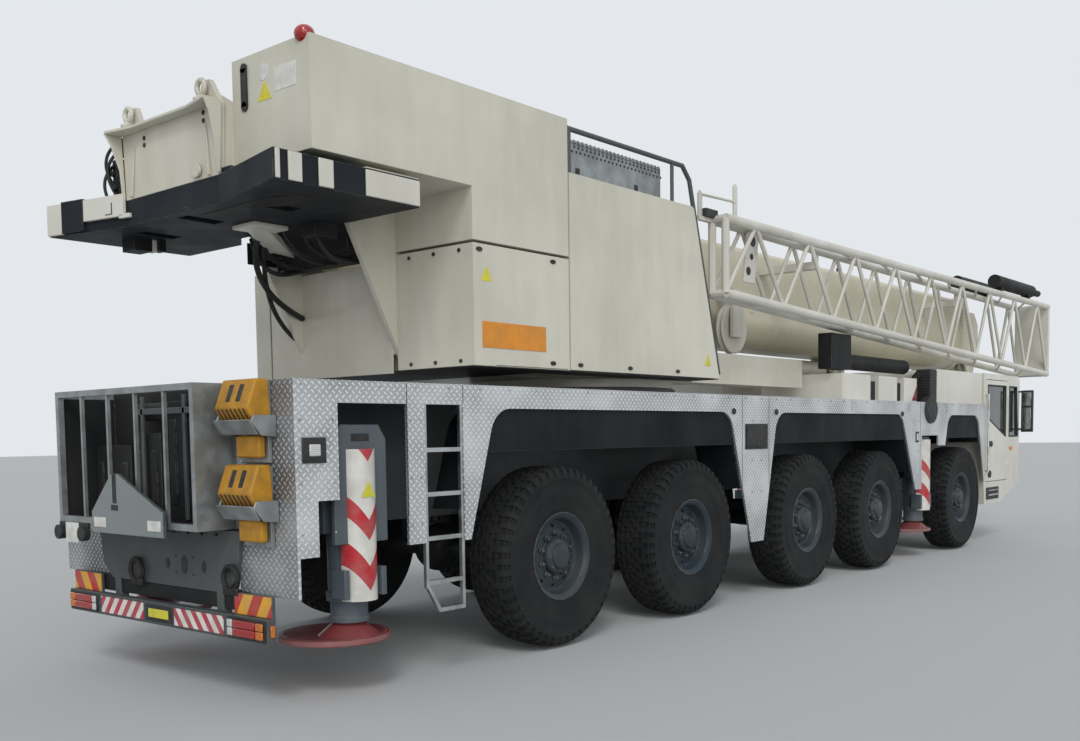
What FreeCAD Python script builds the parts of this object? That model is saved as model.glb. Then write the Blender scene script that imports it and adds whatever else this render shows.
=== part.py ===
"""Five-axle mobile crane with a telescopic boom, parked in road travel trim.

Lengths are in millimetres. The crane is drawn with X = 0 at its rearmost axle, +X to the cab,
+Y to its left and Z = 0 on the ground. Every sub-part's Placement then moves it to the origin,
which is the middle of the crane's length, on the ground.
"""
import FreeCAD, Part
import math
import os
import re
from types import SimpleNamespace
from FreeCAD import Placement, Rotation, Vector
import Sketcher

SIZES = {
    # Running gear
    "axle_5": 0,
    "spacing_5_4": 1810,
    "spacing_4_3": 2230,
    "spacing_3_2": 1820,
    "spacing_2_1": 2700,
    "wheel_radius": 695,
    "wheel_half_width": 187,
    "wheel_inset": 208,
    "bead_radius": 318,
    "rim_clearance": 1,
    "rim_wall": 18,
    "rim_half_width": 150,
    "disc_outside": 75,
    "disc_wall": 16,
    "hub_radius": 135,
    "hub_outside": 150,
    "beam_radius": 75,
    "kingpin_inset": 267,
    "kingpin_radius": 65,
    "kingpin_half_height": 185,
    "yoke_wall": 32,
    "yoke_gap": 6,
    "yoke_half_length": 48,
    "spindle_radius": 60,
    "brake_radius": 190,
    "brake_wall": 150,
    "differential_radius": 200,
    "strut_radius": 55,
    "strut_y": 370,
    # Frame and deck
    "frame_rear": -2300,
    "frame_half_width": 450,
    "frame_bottom": 1000,
    "engine_bay_reach": 910,
    "engine_bay_floor": 1430,
    "body_rear": -2480,
    "body_nose": 800,
    "body_half_width": 1375,
    "plate": 20,
    "deck_top": 1956,
    "deck_plate": 30,
    "skirt_bottom": 570,
    "corner_plate_bottom": 670,
    "corner_plate_width": 575,
    "tail_plate_rear": -2510,
    "tail_plate_bottom": 660,
    "tail_plate_inset": 515,
    "arch_top": 1800,
    "arch_corner": 210,
    "liner_wall": 14,
    "liner_width": 435,
    "liner_lip_bottom": 1500,
    # Stabilisers
    "leg_rear": -1930,
    "leg_front_reach": 1260,
    "housing_half_length": 235,
    "housing_height": 480,
    "housing_wall": 18,
    "beam_width": 188,
    "beam_height": 430,
    "beam_clearance": 7,
    "beam_overlap": 50,
    "leg_inset": 215,
    "leg_overhang": 150,
    "leg_outer_radius": 130,
    "leg_bore": 92,
    "leg_rod_radius": 80,
    "leg_bottom": 640,
    "leg_top": 1560,
    "leg_opening_rear": 1820,
    "leg_opening_front": 1540,
    "shield_half_length": 210,
    "shield_bottom": 960,
    "shield_top": 1690,
    "pad_radius": 350,
    "pad_bottom": 330,
    "pad_thickness": 40,
    # Tail of the carrier
    "rack_rear": -2750,
    "rack_right_inset": 605,
    "rack_left_inset": 445,
    "rack_bottom": 1062,
    "rack_top": 1950,
    "rack_wall": 15,
    "rack_rail": 40,
    "rack_bar": 22,
    "bumper_rear": -2570,
    "bumper_half_width": 1186,
    "bumper_bottom": 400,
    "bumper_top": 548,
    "board_top": 680,
    "board_width": 380,
    "chock_near_inset": 165,
    "chock_far_inset": 510,
    "chock_depth": 190,
    "chock_height": 440,
    "ladder_rear": -1450,
    "ladder_front": -1090,
    "ladder_stile": 25,
    "ladder_top": 1820,
    "rung_height": 28,
    "hitch_rear": -2790,
    "hitch_top": 1400,
    # Carrier cab
    "cab_gap": 10,
    "cab_length": 1710,
    "cab_inset": 25,
    "cab_bottom": 550,
    "cab_sill": 1000,
    "cab_top": 2390,
    "cab_wall": 45,
    "cab_foot_lean": 60,
    "cab_chin_reach": 780,
    "cab_chin_top": 830,
    "cab_front_corner": 260,
    "windscreen_bottom": 1450,
    "windscreen_top": 2270,
    "windscreen_lean": 70,
    "door_reach": 90,
    "door_width": 940,
    "door_bottom": 860,
    "door_top": 2310,
    "door_gap": 8,
    "door_hinge_radius": 16,
    "door_hinge_clearance": 6,
    "glass": 6,
    # Boxes on the deck
    "box_inner": 260,
    "box_inset": 120,
    "box_top": 2250,
    "cover_reach": 970,
    "cover_top": 2385,
    # Superstructure
    "slew_x": 1800,
    "ring_radius": 980,
    "ring_bore": 760,
    "ring_top": 2015,
    "ring_gap": 6,
    "platform_bottom": 2095,
    "platform_plate": 110,
    "platform_front": 3000,
    "nose_rear": 2800,
    "nose_front": 4880,
    "nose_side": -840,
    "nose_top": 2400,
    "lug_y": 435,
    "lug_z": 3805,
    "lug_bore": 22,
    "side_half_width": 1330,
    "side_inner": 560,
    "low_housing_rear": -920,
    "low_housing_front": 120,
    "low_housing_top": 2925,
    "high_housing_rear": -2260,
    "high_housing_bottom": 3300,
    "high_housing_top": 3958,
    "housing_seam": 20,
    "panel_rear": 136,
    "panel_front": 2290,
    "panel_front_top": 1870,
    "panel_top": 3570,
    "panel_edge_radius": 40,
    "left_housing_rear": -900,
    "left_housing_front": 1150,
    "left_housing_top": 2860,
    "left_housing_corner_x": -760,
    "left_housing_corner_y": 1012,
    "cooler_front": 1510,
    "cooler_near": -1240,
    "cooler_far": -700,
    "cooler_top": 3870,
    "hand_rail_y": -1295,
    "hand_rail_top": 3905,
    "hand_rail_radius": 19,
    "hand_rail_bend": 120,
    "tower_outer": 560,
    "tower_wall": 40,
    "pivot_x": -900,
    "pivot_z": 3150,
    "pivot_radius": 70,
    "pin_clearance": 1,
    "ballast_bottom": 3080,
    "ballast_top": 3255,
    "ballast_front": -1410,
    "ballast_rear": -2540,
    "ballast_middle_rear": -2370,
    "ballast_middle_half": 540,
    "ballast_notch": 160,
    "ballast_notch_half": 480,
    "pocket_half_length": 150,
    "pocket_half_width": 70,
    "pocket_depth": 60,
    "winch_x": -1880,
    "winch_z": 3560,
    "winch_shaft_radius": 55,
    "winch_radius": 170,
    "winch_flange": 235,
    "opcab_rear": 1800,
    "opcab_front": 3560,
    "opcab_inner": 600,
    "opcab_outer": 1340,
    "opcab_bottom": 2110,
    "opcab_top": 3680,
    "opcab_wall": 40,
    "opcab_pivot_x": 1745,
    "opcab_pivot_z": 2180,
    # Luffing ram
    "ram_foot_x": 2200,
    "ram_foot_z": 2385,
    "ram_eye_x": 7270,
    "ram_eye_z": 2405,
    "ram_radius": 118,
    "ram_bore": 96,
    "ram_rod_radius": 88,
    "ram_rod_start": 400,
    # Boom
    "boom_rear": -200,
    "boom_front": 11000,
    "boom_bottom": 2560,
    "boom_top": 3620,
    "boom_half_width": 450,
    "boom_wall": 16,
    "boom_edge_radius": 70,
    "boom_belly_radius": 300,
    "boom_step": 34,
    "boom_stagger": 130,
    "boom_inside": 60,
    "collar_length": 70,
    "collar_height": 26,
    "head_front": 12330,
    "head_sheave_radius": 240,
    # Lattice jib stowed beside the boom
    "jib_rear": 2400,
    "jib_front": 12380,
    "jib_near": -1330,
    "jib_far_rear": -1190,
    "jib_far_front": -875,
    "jib_top": 3550,
    "jib_low_rear": 2880,
    "jib_low_front": 2480,
    "chord_radius": 44,
    "lace_radius": 21,
    "jib_end_step": 6,
    "top_ram_z": 3760,
    "top_ram_radius": 95,
    "top_rod_radius": 50,
    "under_ram_y": -1100,
    "under_ram_z": 2395,
    "under_ram_radius": 88,
}
# Sizes that follow from the others
DERIVED = {
    "axle_4": "axle_5 + spacing_5_4",
    "axle_3": "axle_4 + spacing_4_3",
    "axle_2": "axle_3 + spacing_3_2",
    "axle_1": "axle_2 + spacing_2_1",
    "wheel_middle": "body_half_width - wheel_inset",
    "kingpin_y": "wheel_middle - kingpin_inset",
    "body_front": "axle_1 + body_nose",
    "frame_front": "body_front + cab_gap",
    "engine_bay_rear": "axle_1 - engine_bay_reach",
    "cover_rear": "axle_1 - cover_reach",
    "tail_plate_half_width": "body_half_width - tail_plate_inset",
    "rack_right": "rack_right_inset - body_half_width",
    "rack_left": "body_half_width - rack_left_inset",
    "corner_plate_inner": "body_half_width - corner_plate_width",
    "liner_inner": "body_half_width - liner_width",
    "leg_front": "axle_1 - leg_front_reach",
    "leg_top_front": "leg_opening_front - 20",
    "shield_top_front": "leg_opening_front - 15",
    "leg_y": "body_half_width - leg_inset",
    "pad_y": "leg_y - leg_overhang",
    "housing_half_width": "leg_y - leg_overhang",
    "beam_root": "housing_half_width - beam_overlap",
    "cab_rear": "body_front + cab_gap",
    "cab_front": "cab_rear + cab_length",
    "cab_half_width": "body_half_width - cab_inset",
    "cab_chin": "cab_rear + cab_chin_reach",
    "door_rear": "cab_rear + door_reach",
    "door_hinge": "door_rear + door_width",
    "box_outer": "body_half_width - box_inset",
    "to_origin": "-(hitch_rear + jib_front + chord_radius - jib_end_step) / 2",
}

doc = FreeCAD.newDocument("MobileCrane")
sheet = doc.addObject("Spreadsheet::Sheet", "Sizes")
for row, (alias, value) in enumerate(list(SIZES.items()) + list(DERIVED.items()), 1):
    sheet.set("A%d" % row, alias)
    sheet.set("B%d" % row, "=" + str(value))
    sheet.setAlias("B%d" % row, alias)
doc.recompute()
s = SimpleNamespace(**{alias: float(sheet.get(alias)) for alias in list(SIZES) + list(DERIVED)})

FORWARD, LEFT, UP = Vector(1, 0, 0), Vector(0, 1, 0), Vector(0, 0, 1)
ALONG = {"x": Rotation(LEFT, 90), "y": Rotation(FORWARD, -90), "z": Rotation()}
# A sketch seen along an axis: from the side, its x and y are the crane's X and Z, and so on.
SEEN = {"x": Rotation(Vector(1, 1, 1), 120), "y": Rotation(FORWARD, 90), "z": Rotation()}
AXES = {"x": FORWARD, "y": LEFT, "z": UP}
nodes = []


def cells(text):
    """Point every size name in an expression at its cell in the sheet."""
    return re.sub(r"[a-z][a-z_0-9]*", lambda found: "Sizes." + found.group(0), str(text))


def bind(item, prop, text):
    item.setExpression(prop, cells(text))


def box(name, xs, ys, zs):
    """A block between a low and a high value on each axis."""
    item = doc.addObject("Part::Box", name)
    for prop, base, (low, high) in zip(("Length", "Width", "Height"), "xyz", (xs, ys, zs)):
        bind(item, prop, "(%s) - (%s)" % (high, low))
        bind(item, "Placement.Base." + base, low)
    return item


def rod(name, axis, centre, radius, span):
    """A round bar along an axis; centre gives its two other coordinates."""
    item = doc.addObject("Part::Cylinder", name)
    item.Placement = Placement(Vector(), ALONG[axis])
    bind(item, "Radius", radius)
    bind(item, "Height", "(%s) - (%s)" % (span[1], span[0]))
    others = [letter for letter in "xyz" if letter != axis]
    for letter, place in zip(others, centre):
        bind(item, "Placement.Base." + letter, place)
    bind(item, "Placement.Base." + axis, span[0])
    return item


def outline(name, axis, points, offset):
    """A closed sketch through points, square to an axis and at an offset along it."""
    sketch = doc.addObject("Sketcher::SketchObject", name)
    sketch.Placement = Placement(Vector(), SEEN[axis])
    bind(sketch, "Placement.Base." + axis, offset)
    count = len(points)
    reach = s.body_half_width
    guide = [Vector(reach * math.cos(2 * math.pi * i / count), reach * math.sin(2 * math.pi * i / count),
                    0)
             for i in range(count)]
    sketch.addGeometry([Part.LineSegment(guide[i], guide[(i + 1) % count]) for i in range(count)])
    for i in range(count):
        sketch.addConstraint(Sketcher.Constraint("Coincident", i, 2, (i + 1) % count, 1))
    for i, (across, along) in enumerate(points):
        for kind, text in (("DistanceX", across), ("DistanceY", along)):
            number = sketch.addConstraint(Sketcher.Constraint(kind, -1, 1, i, 1, 1.0))
            sketch.setExpression("Constraints[%d]" % number, cells(text))
    return sketch


def prism(name, axis, points, span):
    """A straight body with an outline square to an axis, between two values on that axis."""
    item = doc.addObject("Part::Extrusion", name)
    item.Base = outline(name + "_outline", axis, points, span[0])
    item.DirMode = "Custom"
    item.Dir = AXES[axis]
    item.Solid = True
    bind(item, "LengthFwd", "(%s) - (%s)" % (span[1], span[0]))
    return item


def rounded(name, base, axis, corners, radius):
    """Round the edges of a prism that run along an axis at the given numbered outline corners."""
    doc.recompute()
    sketch = base.Base
    direction = AXES[axis]
    wanted = [sketch.Placement.multVec(sketch.Geometry[i].StartPoint) for i in corners]
    picked = []
    for number, edge in enumerate(base.Shape.Edges, 1):
        if len(edge.Vertexes) != 2:
            continue
        line = edge.Vertexes[1].Point - edge.Vertexes[0].Point
        if line.Length < 1 or abs(line.normalize().dot(direction)) < 0.999:
            continue
        for corner in wanted:
            gap = edge.Vertexes[0].Point - corner
            gap -= direction * gap.dot(direction)
            if gap.Length < 0.5:
                picked.append((number, radius, radius))
    item = doc.addObject("Part::Fillet", name)
    item.Base = base
    item.Edges = picked
    return item


def fuse(name, items):
    if len(items) == 1:
        return items[0]
    item = doc.addObject("Part::MultiFuse", name)
    item.Shapes = items
    return item


def cut(name, base, tools):
    item = doc.addObject("Part::Cut", name)
    item.Base = base
    item.Tool = fuse(name + "_tools", tools)
    return item


def common(name, first, second):
    item = doc.addObject("Part::MultiCommon", name)
    item.Shapes = [first, second]
    return item


def mirrored(name, source):
    """The same piece on the other side of the crane."""
    item = doc.addObject("Part::Mirroring", name)
    item.Source = source
    item.Normal = LEFT
    return item


def group(name, items):
    """Pieces that don't touch, kept as one sub-part."""
    item = doc.addObject("Part::Compound", name)
    item.Links = items
    return item


def shaped(name, shape):
    item = doc.addObject("Part::Feature", name)
    item.Shape = shape
    return item


def both_sides(name, item, join=group):
    return join(name, [item, mirrored(name + "_mirror", item)])


def node(label, item):
    """Name a finished sub-part and move it to the crane's origin."""
    item.Label = label
    bind(item, "Placement.Base.x", "to_origin")
    nodes.append(item)


def bar(start, end, radius, sides=6):
    """A straight bar with a few flat sides between two points."""
    line = end - start
    turn = Rotation(UP, line)
    ring = [start + turn.multVec(Vector(radius * math.cos(a), radius * math.sin(a), 0))
            for a in (2 * math.pi * i / sides for i in range(sides))]
    return Part.Face(Part.makePolygon(ring + ring[:1])).extrude(line)


def tube_path(points, radius, bend):
    """A bent rail: straight runs joined by arcs, swept by one round section."""
    edges, start = [], points[0]
    for before, corner, after in zip(points, points[1:], points[2:]):
        inward, outward = (before - corner).normalize(), (after - corner).normalize()
        half = inward.getAngle(outward) / 2
        reach = bend / math.tan(half)
        first, last = corner + inward * reach, corner + outward * reach
        middle = corner + (inward + outward).normalize() * (bend / math.sin(half) - bend)
        edges += [Part.makeLine(start, first), Part.Arc(first, middle, last).toShape()]
        start = last
    edges.append(Part.makeLine(start, points[-1]))
    wire = Part.Wire(edges)
    section = Part.Wire(Part.makeCircle(radius, points[0], points[1] - points[0]))
    return wire.makePipeShell([section], True, False)


SIDES = (("right", -1), ("left", 1))
AXLES = ("axle_1", "axle_2", "axle_3", "axle_4", "axle_5")
STEERED = ("axle_1", "axle_2", "axle_4", "axle_5")
# Each pair of stabilisers: its place, its X, and the tops of its leg and of its shield
LEGS = (("rear", "leg_rear", "leg_top", "shield_top"), ("front", "leg_front", "leg_top_front",
                                                        "shield_top_front"))
# Each wheel arch: the X of its upper rear and front corners, how far each end leans outwards
# over its height, and how low its liner reaches.
ARCHES = (
    ("arch_rear", "axle_5 - 770", "axle_4 + 600", 350, 370, 1100),
    ("arch_middle", "axle_3 - 740", "axle_2 + 540", 270, 560, 1100),
    ("arch_front", "axle_1 - 630", "axle_1 + 500", 330, 340, 1430),
)


def frame_top():
    return "deck_top - deck_plate"


def chassis_frame():
    rail = prism("frame_rail", "y", [
        ("frame_rear", frame_top()), ("frame_rear", "frame_bottom"), ("frame_front", "frame_bottom"),
        ("frame_front", "engine_bay_floor"), ("engine_bay_rear", "engine_bay_floor"),
        ("engine_bay_rear", frame_top())], ("-frame_half_width", "frame_half_width"))
    tail = prism("frame_tail", "y", [
        ("tail_plate_rear", "rack_bottom - 12"), ("tail_plate_rear", "tail_plate_bottom + 40"),
        ("frame_rear", "tail_plate_bottom + 60"), ("frame_rear + 800", "frame_bottom"),
        ("frame_rear", "rack_bottom - 12")], ("50 - frame_half_width", "frame_half_width - 50"))
    plate = prism("tail_plate", "x", [
        ("-tail_plate_half_width", "rack_bottom - 12"), ("-tail_plate_half_width + 60",
                                                         "tail_plate_bottom + 90"),
        ("-tail_plate_half_width + 180", "tail_plate_bottom"), ("tail_plate_half_width - 180",
                                                                "tail_plate_bottom"),
        ("tail_plate_half_width - 60", "tail_plate_bottom + 90"), ("tail_plate_half_width",
                                                                   "rack_bottom - 12")],
        ("tail_plate_rear", "tail_plate_rear + 30"))
    holes = [rod("tail_hole_%d" % i, "x", (y, "tail_plate_bottom + 210"), radius,
                 ("tail_plate_rear - 5", "tail_plate_rear + 45"))
             for i, (y, radius) in enumerate(((-270, 22), (0, 55), (270, 22)))]
    hitch = prism("hitch_plate", "x", [
        (-470, 1010), (-470, 1170), (60, "hitch_top"), (140, "hitch_top"), (400, 1150), (400,
            1020), (140, 1010)],
        ("hitch_rear", "hitch_rear + 20"))
    slot = box("hitch_slot", ("hitch_rear - 5", "hitch_rear + 25"), (85, 115), (1200, "hitch_top - 30"))
    arm = box("hitch_arm", ("hitch_rear + 10", "tail_plate_rear + 15"), (-60, 130), (1012, 1045))
    posts = [box("bumper_post_%s" % side, ("tail_plate_rear", "tail_plate_rear + 60"),
                 (sign * 620 - 35, sign * 620 + 35), ("bumper_top - 60", "tail_plate_bottom + 30"))
             for side, sign in SIDES]
    housings, bays = [], []
    for place, leg, leg_top, shield_top in LEGS:
        housings.append(box("housing_" + place,
                            (leg + " - housing_half_length", leg + " + housing_half_length"),
                            ("-housing_half_width", "housing_half_width"),
                            ("frame_bottom", "frame_bottom + housing_height")))
        for side, sign in SIDES:
            middle = "%s - %d * (beam_width / 2 + beam_clearance + housing_wall / 2)" % (leg, sign)
            bays.append(box("bay_%s_%s" % (place, side),
                            (middle + " - beam_width / 2 - beam_clearance",
                             middle + " + beam_width / 2 + beam_clearance"),
                            ("-housing_half_width - 5", "housing_half_width + 5"),
                            ("frame_bottom + housing_wall",
                             "frame_bottom + housing_wall + beam_height + 2 * beam_clearance")))
    plate_cut = cut("tail_plate_bored", plate, holes)
    hitch_cut = cut("hitch_slotted", hitch, [slot])
    ring = rod("ring_outer", "z", ("slew_x", 0), "ring_radius", (frame_top(), "ring_top"))
    hole = rod("ring_hole", "z", ("slew_x", 0), "ring_bore", (frame_top(), "ring_top + 5"))
    whole = fuse("frame_whole", [rail, tail, plate_cut, hitch_cut, arm, ring] + posts + housings)
    node("chassis_frame", cut("frame_bored", whole, bays + [hole]))


def axle_beams():
    items = []
    for axle in AXLES:
        steered = axle in STEERED
        reach = "kingpin_y - kingpin_radius - yoke_gap - yoke_wall / 2" if steered else "wheel_middle + 40"
        parts = [rod(axle + "_beam", "y", (axle, "wheel_radius"), "beam_radius",
                     ("-(%s)" % reach, reach))]
        bulb = doc.addObject("Part::Sphere", axle + "_differential")
        bind(bulb, "Radius", "differential_radius")
        bind(bulb, "Placement.Base.x", axle)
        bind(bulb, "Placement.Base.z", "wheel_radius")
        parts.append(bulb)
        for side, sign in SIDES:
            parts.append(rod("%s_strut_%s" % (axle, side), "z", (axle, "%d * strut_y" % sign),
                             "strut_radius",
                             ("wheel_radius", "frame_bottom")))
            if steered:
                wall = "kingpin_y - kingpin_radius - yoke_gap"
                near, far = wall + " - yoke_wall", "kingpin_y + 45"
                top = "wheel_radius + kingpin_half_height + yoke_gap + yoke_wall"
                low = "wheel_radius - kingpin_half_height - yoke_gap - yoke_wall"
                ys = [(near, wall), (near, far), (near, far)]
                zs = [(low, top), (top + " - yoke_wall", top), (low, low + " + yoke_wall")]
                for i, ((a, b), z) in enumerate(zip(ys, zs)):
                    span = (a, b) if sign > 0 else ("-(%s)" % b, "-(%s)" % a)
                    parts.append(box("%s_yoke_%s_%d" % (axle, side, i),
                                     (axle + " - yoke_half_length",
                                      axle + " + yoke_half_length"), span, z))
            else:
                span = ("wheel_middle - brake_wall", "wheel_middle")
                span = span if sign > 0 else ("-wheel_middle", "brake_wall - wheel_middle")
                parts.append(rod("%s_brake_%s" % (axle, side), "y", (axle, "wheel_radius"),
                                 "brake_radius", span))
        items.append(fuse(axle + "_whole", parts))
    node("axle_beams", group("axle_group", items))


def knuckles():
    for axle in STEERED:
        for side, sign in SIDES:
            name = "knuckle_%s_%s" % (axle[-1], side)
            pin = rod(name + "_pin", "z", (axle, "%d * kingpin_y" % sign), "kingpin_radius",
                      ("wheel_radius - kingpin_half_height", "wheel_radius + kingpin_half_height"))
            spans = []
            for low, high in (("kingpin_y", "wheel_middle + 40"),
                              ("wheel_middle - brake_wall + 20", "wheel_middle")):
                spans.append((low, high) if sign > 0 else ("-(%s)" % high, "-(%s)" % low))
            spindle = rod(name + "_spindle", "y", (axle, "wheel_radius"), "spindle_radius", spans[0])
            brake = rod(name + "_brake", "y", (axle, "wheel_radius"), "brake_radius", spans[1])
            node(name, fuse(name + "_whole", [pin, spindle, brake]))


def revolved(name, profile, centre_x, middle_y, outward):
    """Turn a profile of radius and outward distance about an axle."""
    points = [Vector(radius, outward * along, 0) for radius, along in profile]
    face = Part.Face(Part.makePolygon(points + points[:1]))
    ring = face.revolve(Vector(), LEFT, 360)
    ring.translate(Vector(centre_x, middle_y, s.wheel_radius))
    return ring if ring.Volume > 0 else ring.reversed()


def wheels():
    half, bead = s.wheel_half_width, s.bead_radius
    tyre = [(bead, -s.rim_half_width), (bead + 14, -s.rim_half_width - 18), (bead + 160, -half),
            (s.wheel_radius - 80, -half + 4),
            (s.wheel_radius - 8, -half + 34), (s.wheel_radius, -half + 55), (s.wheel_radius, half - 55),
            (s.wheel_radius - 8, half - 34), (s.wheel_radius - 80, half - 4), (bead + 160, half),
            (bead + 14, s.rim_half_width + 18), (bead, s.rim_half_width)]
    rim_out = bead - s.rim_clearance
    rim_in = rim_out - s.rim_wall
    disc_in = s.disc_outside - s.disc_wall
    rim = [(rim_out, -s.rim_half_width), (rim_out, s.rim_half_width), (rim_in, s.rim_half_width),
           (rim_in, s.disc_outside + 20), (rim_in - 40, s.disc_outside), (s.hub_radius + 30,
                                                                          s.disc_outside),
           (s.hub_radius, s.hub_outside - 30), (s.hub_radius - 25, s.hub_outside), (0, s.hub_outside),
           (0, disc_in), (rim_in - 46, disc_in), (rim_in, disc_in + 12), (rim_in, -s.rim_half_width)]
    for axle in AXLES:
        for side, sign in SIDES:
            name = "wheel_%s_%s" % (axle[-1], side)
            place = (getattr(s, axle), sign * s.wheel_middle, sign)
            item = shaped(name, Part.Compound([revolved(name, tyre, *place),
                                               revolved(name, rim, *place)]))
            node(name, item)


def arch_prism(name, arch, low, inset, span):
    """The outline of a wheel arch, wider towards its foot, between two heights."""
    label, rear, front, lean_rear, lean_front, liner = arch
    drop = "((arch_top - %s) / 1200)" % low
    top = "arch_top - %d" % inset
    item = prism(name, "y", [
        ("%s - %d * %s + %d" % (rear, lean_rear, drop, inset), low), ("%s + %d" % (rear, inset), top),
        ("%s - %d" % (front, inset), top), ("%s + %d * %s - %d" % (front, lean_front, drop, inset),
                                            low)], span)
    return rounded(name + "_round", item, "y", (1, 2), s.arch_corner - inset)


def rack_notch(name):
    return box(name, ("body_rear - 5", "frame_rear"), ("rack_right - 4", "rack_left + 4"),
               ("rack_bottom - 6", "deck_top + 50"))


def side_skirts():
    inner = "body_half_width - plate"
    skirt = box("skirt", ("body_rear", "body_front"), (inner, "body_half_width"),
                ("skirt_bottom", "deck_top"))
    # Openings below the skirt: rear X, front X and the height that each one reaches
    openings = (
        ("corner_foot", "body_rear + plate", -2320, 910),
        ("corner_edge", "body_rear - 5", "body_rear + plate", "corner_plate_bottom"),
        ("corner_step", -2320, -2160, 1240),
        ("rear_leg", -2160, -1600, "leg_opening_rear"),
        ("ladder_foot", "ladder_rear - 150", "ladder_rear", 920),
        ("ladder_bay", "ladder_rear", "ladder_front", "ladder_top"),
        ("arch_foot", "ladder_front", "ladder_front + 110", 910),
        ("front_leg_foot", "leg_front - 510", "leg_front - 280", 880),
        ("front_leg", "leg_front - 280", "leg_front + 270", "leg_opening_front"),
        ("front_step", "leg_front + 270", "leg_front + 540", 1410),
        ("cab_foot", "body_front - 60", "body_front + 5", 880),
    )
    reach = ("body_half_width - 2 * plate", "body_half_width + plate")
    tools = [box(name, (low, high), reach, ("skirt_bottom - 5", top)) for name, low, high,
             top in openings]
    tools += [arch_prism(arch[0] + "_cut", arch, "(skirt_bottom - 5)", 0, reach) for arch in ARCHES]
    side = cut("skirt_cut", skirt, tools)
    corner = box("corner_plate", ("body_rear", "body_rear + plate"),
                 ("corner_plate_inner", "body_half_width"),
                 ("corner_plate_bottom", "deck_top"))
    half = fuse("skirt_and_corner", [side, corner])
    node("side_skirts", cut("skirts_notched", both_sides("skirt_pair", half),
                            [rack_notch("skirt_rack_notch")]))


def deck():
    plate = box("deck_plate", ("body_rear + plate", "body_front"),
                ("plate - body_half_width", "body_half_width - plate"),
                (frame_top(), "deck_top"))
    holes = [
        rod("deck_ring_hole", "z", ("slew_x", 0), "ring_radius + 30",
            ("deck_top - 100", "deck_top + 50")),
        box("deck_engine_hole", ("engine_bay_rear", "body_front - 60"),
            ("-frame_half_width", "frame_half_width"),
            ("deck_top - 100", "deck_top + 50")),
        rack_notch("deck_rack_notch"),
    ]
    node("deck", cut("deck_cut", plate, holes))


def arch_liners():
    items = []
    for arch in ARCHES:
        label, low = arch[0], "%d" % arch[5]
        outer = arch_prism(label + "_liner", arch, low, 3, ("liner_inner", "body_half_width - plate - 1"))
        inner = arch_prism(label + "_hollow", arch, low, s.liner_wall + 3,
                           ("liner_inner - 5", "body_half_width - plate - 1 - liner_wall"))
        along = (arch[1] + " - 800", arch[2] + " + 800")
        foot = box(label + "_foot", along, ("liner_inner - 10", "body_half_width"),
                   (low + " - 30", low + " + 1"))
        lip = arch_prism(label + "_lip", arch, low, s.liner_wall + 3,
                         ("body_half_width - plate - 2 - liner_wall", "body_half_width"))
        lip_box = box(label + "_lip_box", along, ("liner_inner", "body_half_width + 5"),
                      (low + " - 5", "liner_lip_bottom"))
        lip_low = common(label + "_lip_low", lip, lip_box)
        items.append(both_sides(label + "_pair", cut(label + "_shell", outer, [inner, foot, lip_low])))
    node("arch_liners", group("liner_group", items))


def stabilisers():
    for place, leg, leg_top, shield_top in LEGS:
        for side, sign in SIDES:
            name = "%s_%s" % (place, side)
            middle = "%s - %d * (beam_width / 2 + beam_clearance + housing_wall / 2)" % (leg, sign)
            low = "frame_bottom + housing_wall + beam_clearance"

            def span(near, far):
                return (near, far) if sign > 0 else ("-(%s)" % far, "-(%s)" % near)

            beam = box(name + "_beam", (middle + " - beam_width / 2", middle + " + beam_width / 2"),
                       span("-beam_root", "leg_y"), (low, low + " + beam_height"))
            tube = rod(name + "_tube", "z", (leg, "%d * leg_y" % sign), "leg_outer_radius",
                       ("leg_bottom", leg_top))
            cheek = box(name + "_cheek", (leg + " - shield_half_length", leg + " + shield_half_length"),
                        span("leg_y - 30", "leg_y + 30"), (low, low + " + beam_height"))
            shield = prism(name + "_shield", "y", [
                (leg + " - shield_half_length", "shield_bottom"), (leg + " - shield_half_length",
                                                                   shield_top + " - 90"),
                (leg + " - shield_half_length + 60", shield_top), (leg + " + shield_half_length - 60",
                                                                   shield_top),
                (leg + " + shield_half_length", shield_top + " - 90"), (leg + " + shield_half_length",
                                                                        "shield_bottom")],
                span("leg_y + leg_outer_radius - 20", "leg_y + leg_outer_radius + 10"))
            bore = rod(name + "_bore", "z", (leg, "%d * leg_y" % sign), "leg_bore",
                       ("leg_bottom - 5", leg_top + " - 30"))
            node("stabiliser_beam_" + name, cut(name + "_beam_bored", fuse(name + "_beam_whole",
                                                [beam, tube, cheek, shield]), [bore]))
            piston = rod(name + "_rod", "z", (leg, "%d * leg_y" % sign), "leg_rod_radius",
                         ("pad_bottom + pad_thickness / 2", leg_top + " - 60"))
            pad = rod(name + "_pad", "z", (leg, "%d * pad_y" % sign), "pad_radius",
                      ("pad_bottom", "pad_bottom + pad_thickness"))
            boss = doc.addObject("Part::Cone", name + "_boss")
            for prop, text in (("Radius1", "pad_radius - 150"), ("Radius2", "leg_rod_radius + 15"),
                               ("Height", 90),
                               ("Placement.Base.x", leg), ("Placement.Base.y",
                                                           "%d * (leg_y - 10)" % sign),
                               ("Placement.Base.z", "pad_bottom + pad_thickness - 5")):
                bind(boss, prop, text)
            node("stabiliser_leg_" + name, fuse(name + "_leg_whole", [piston, pad, boss]))


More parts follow.
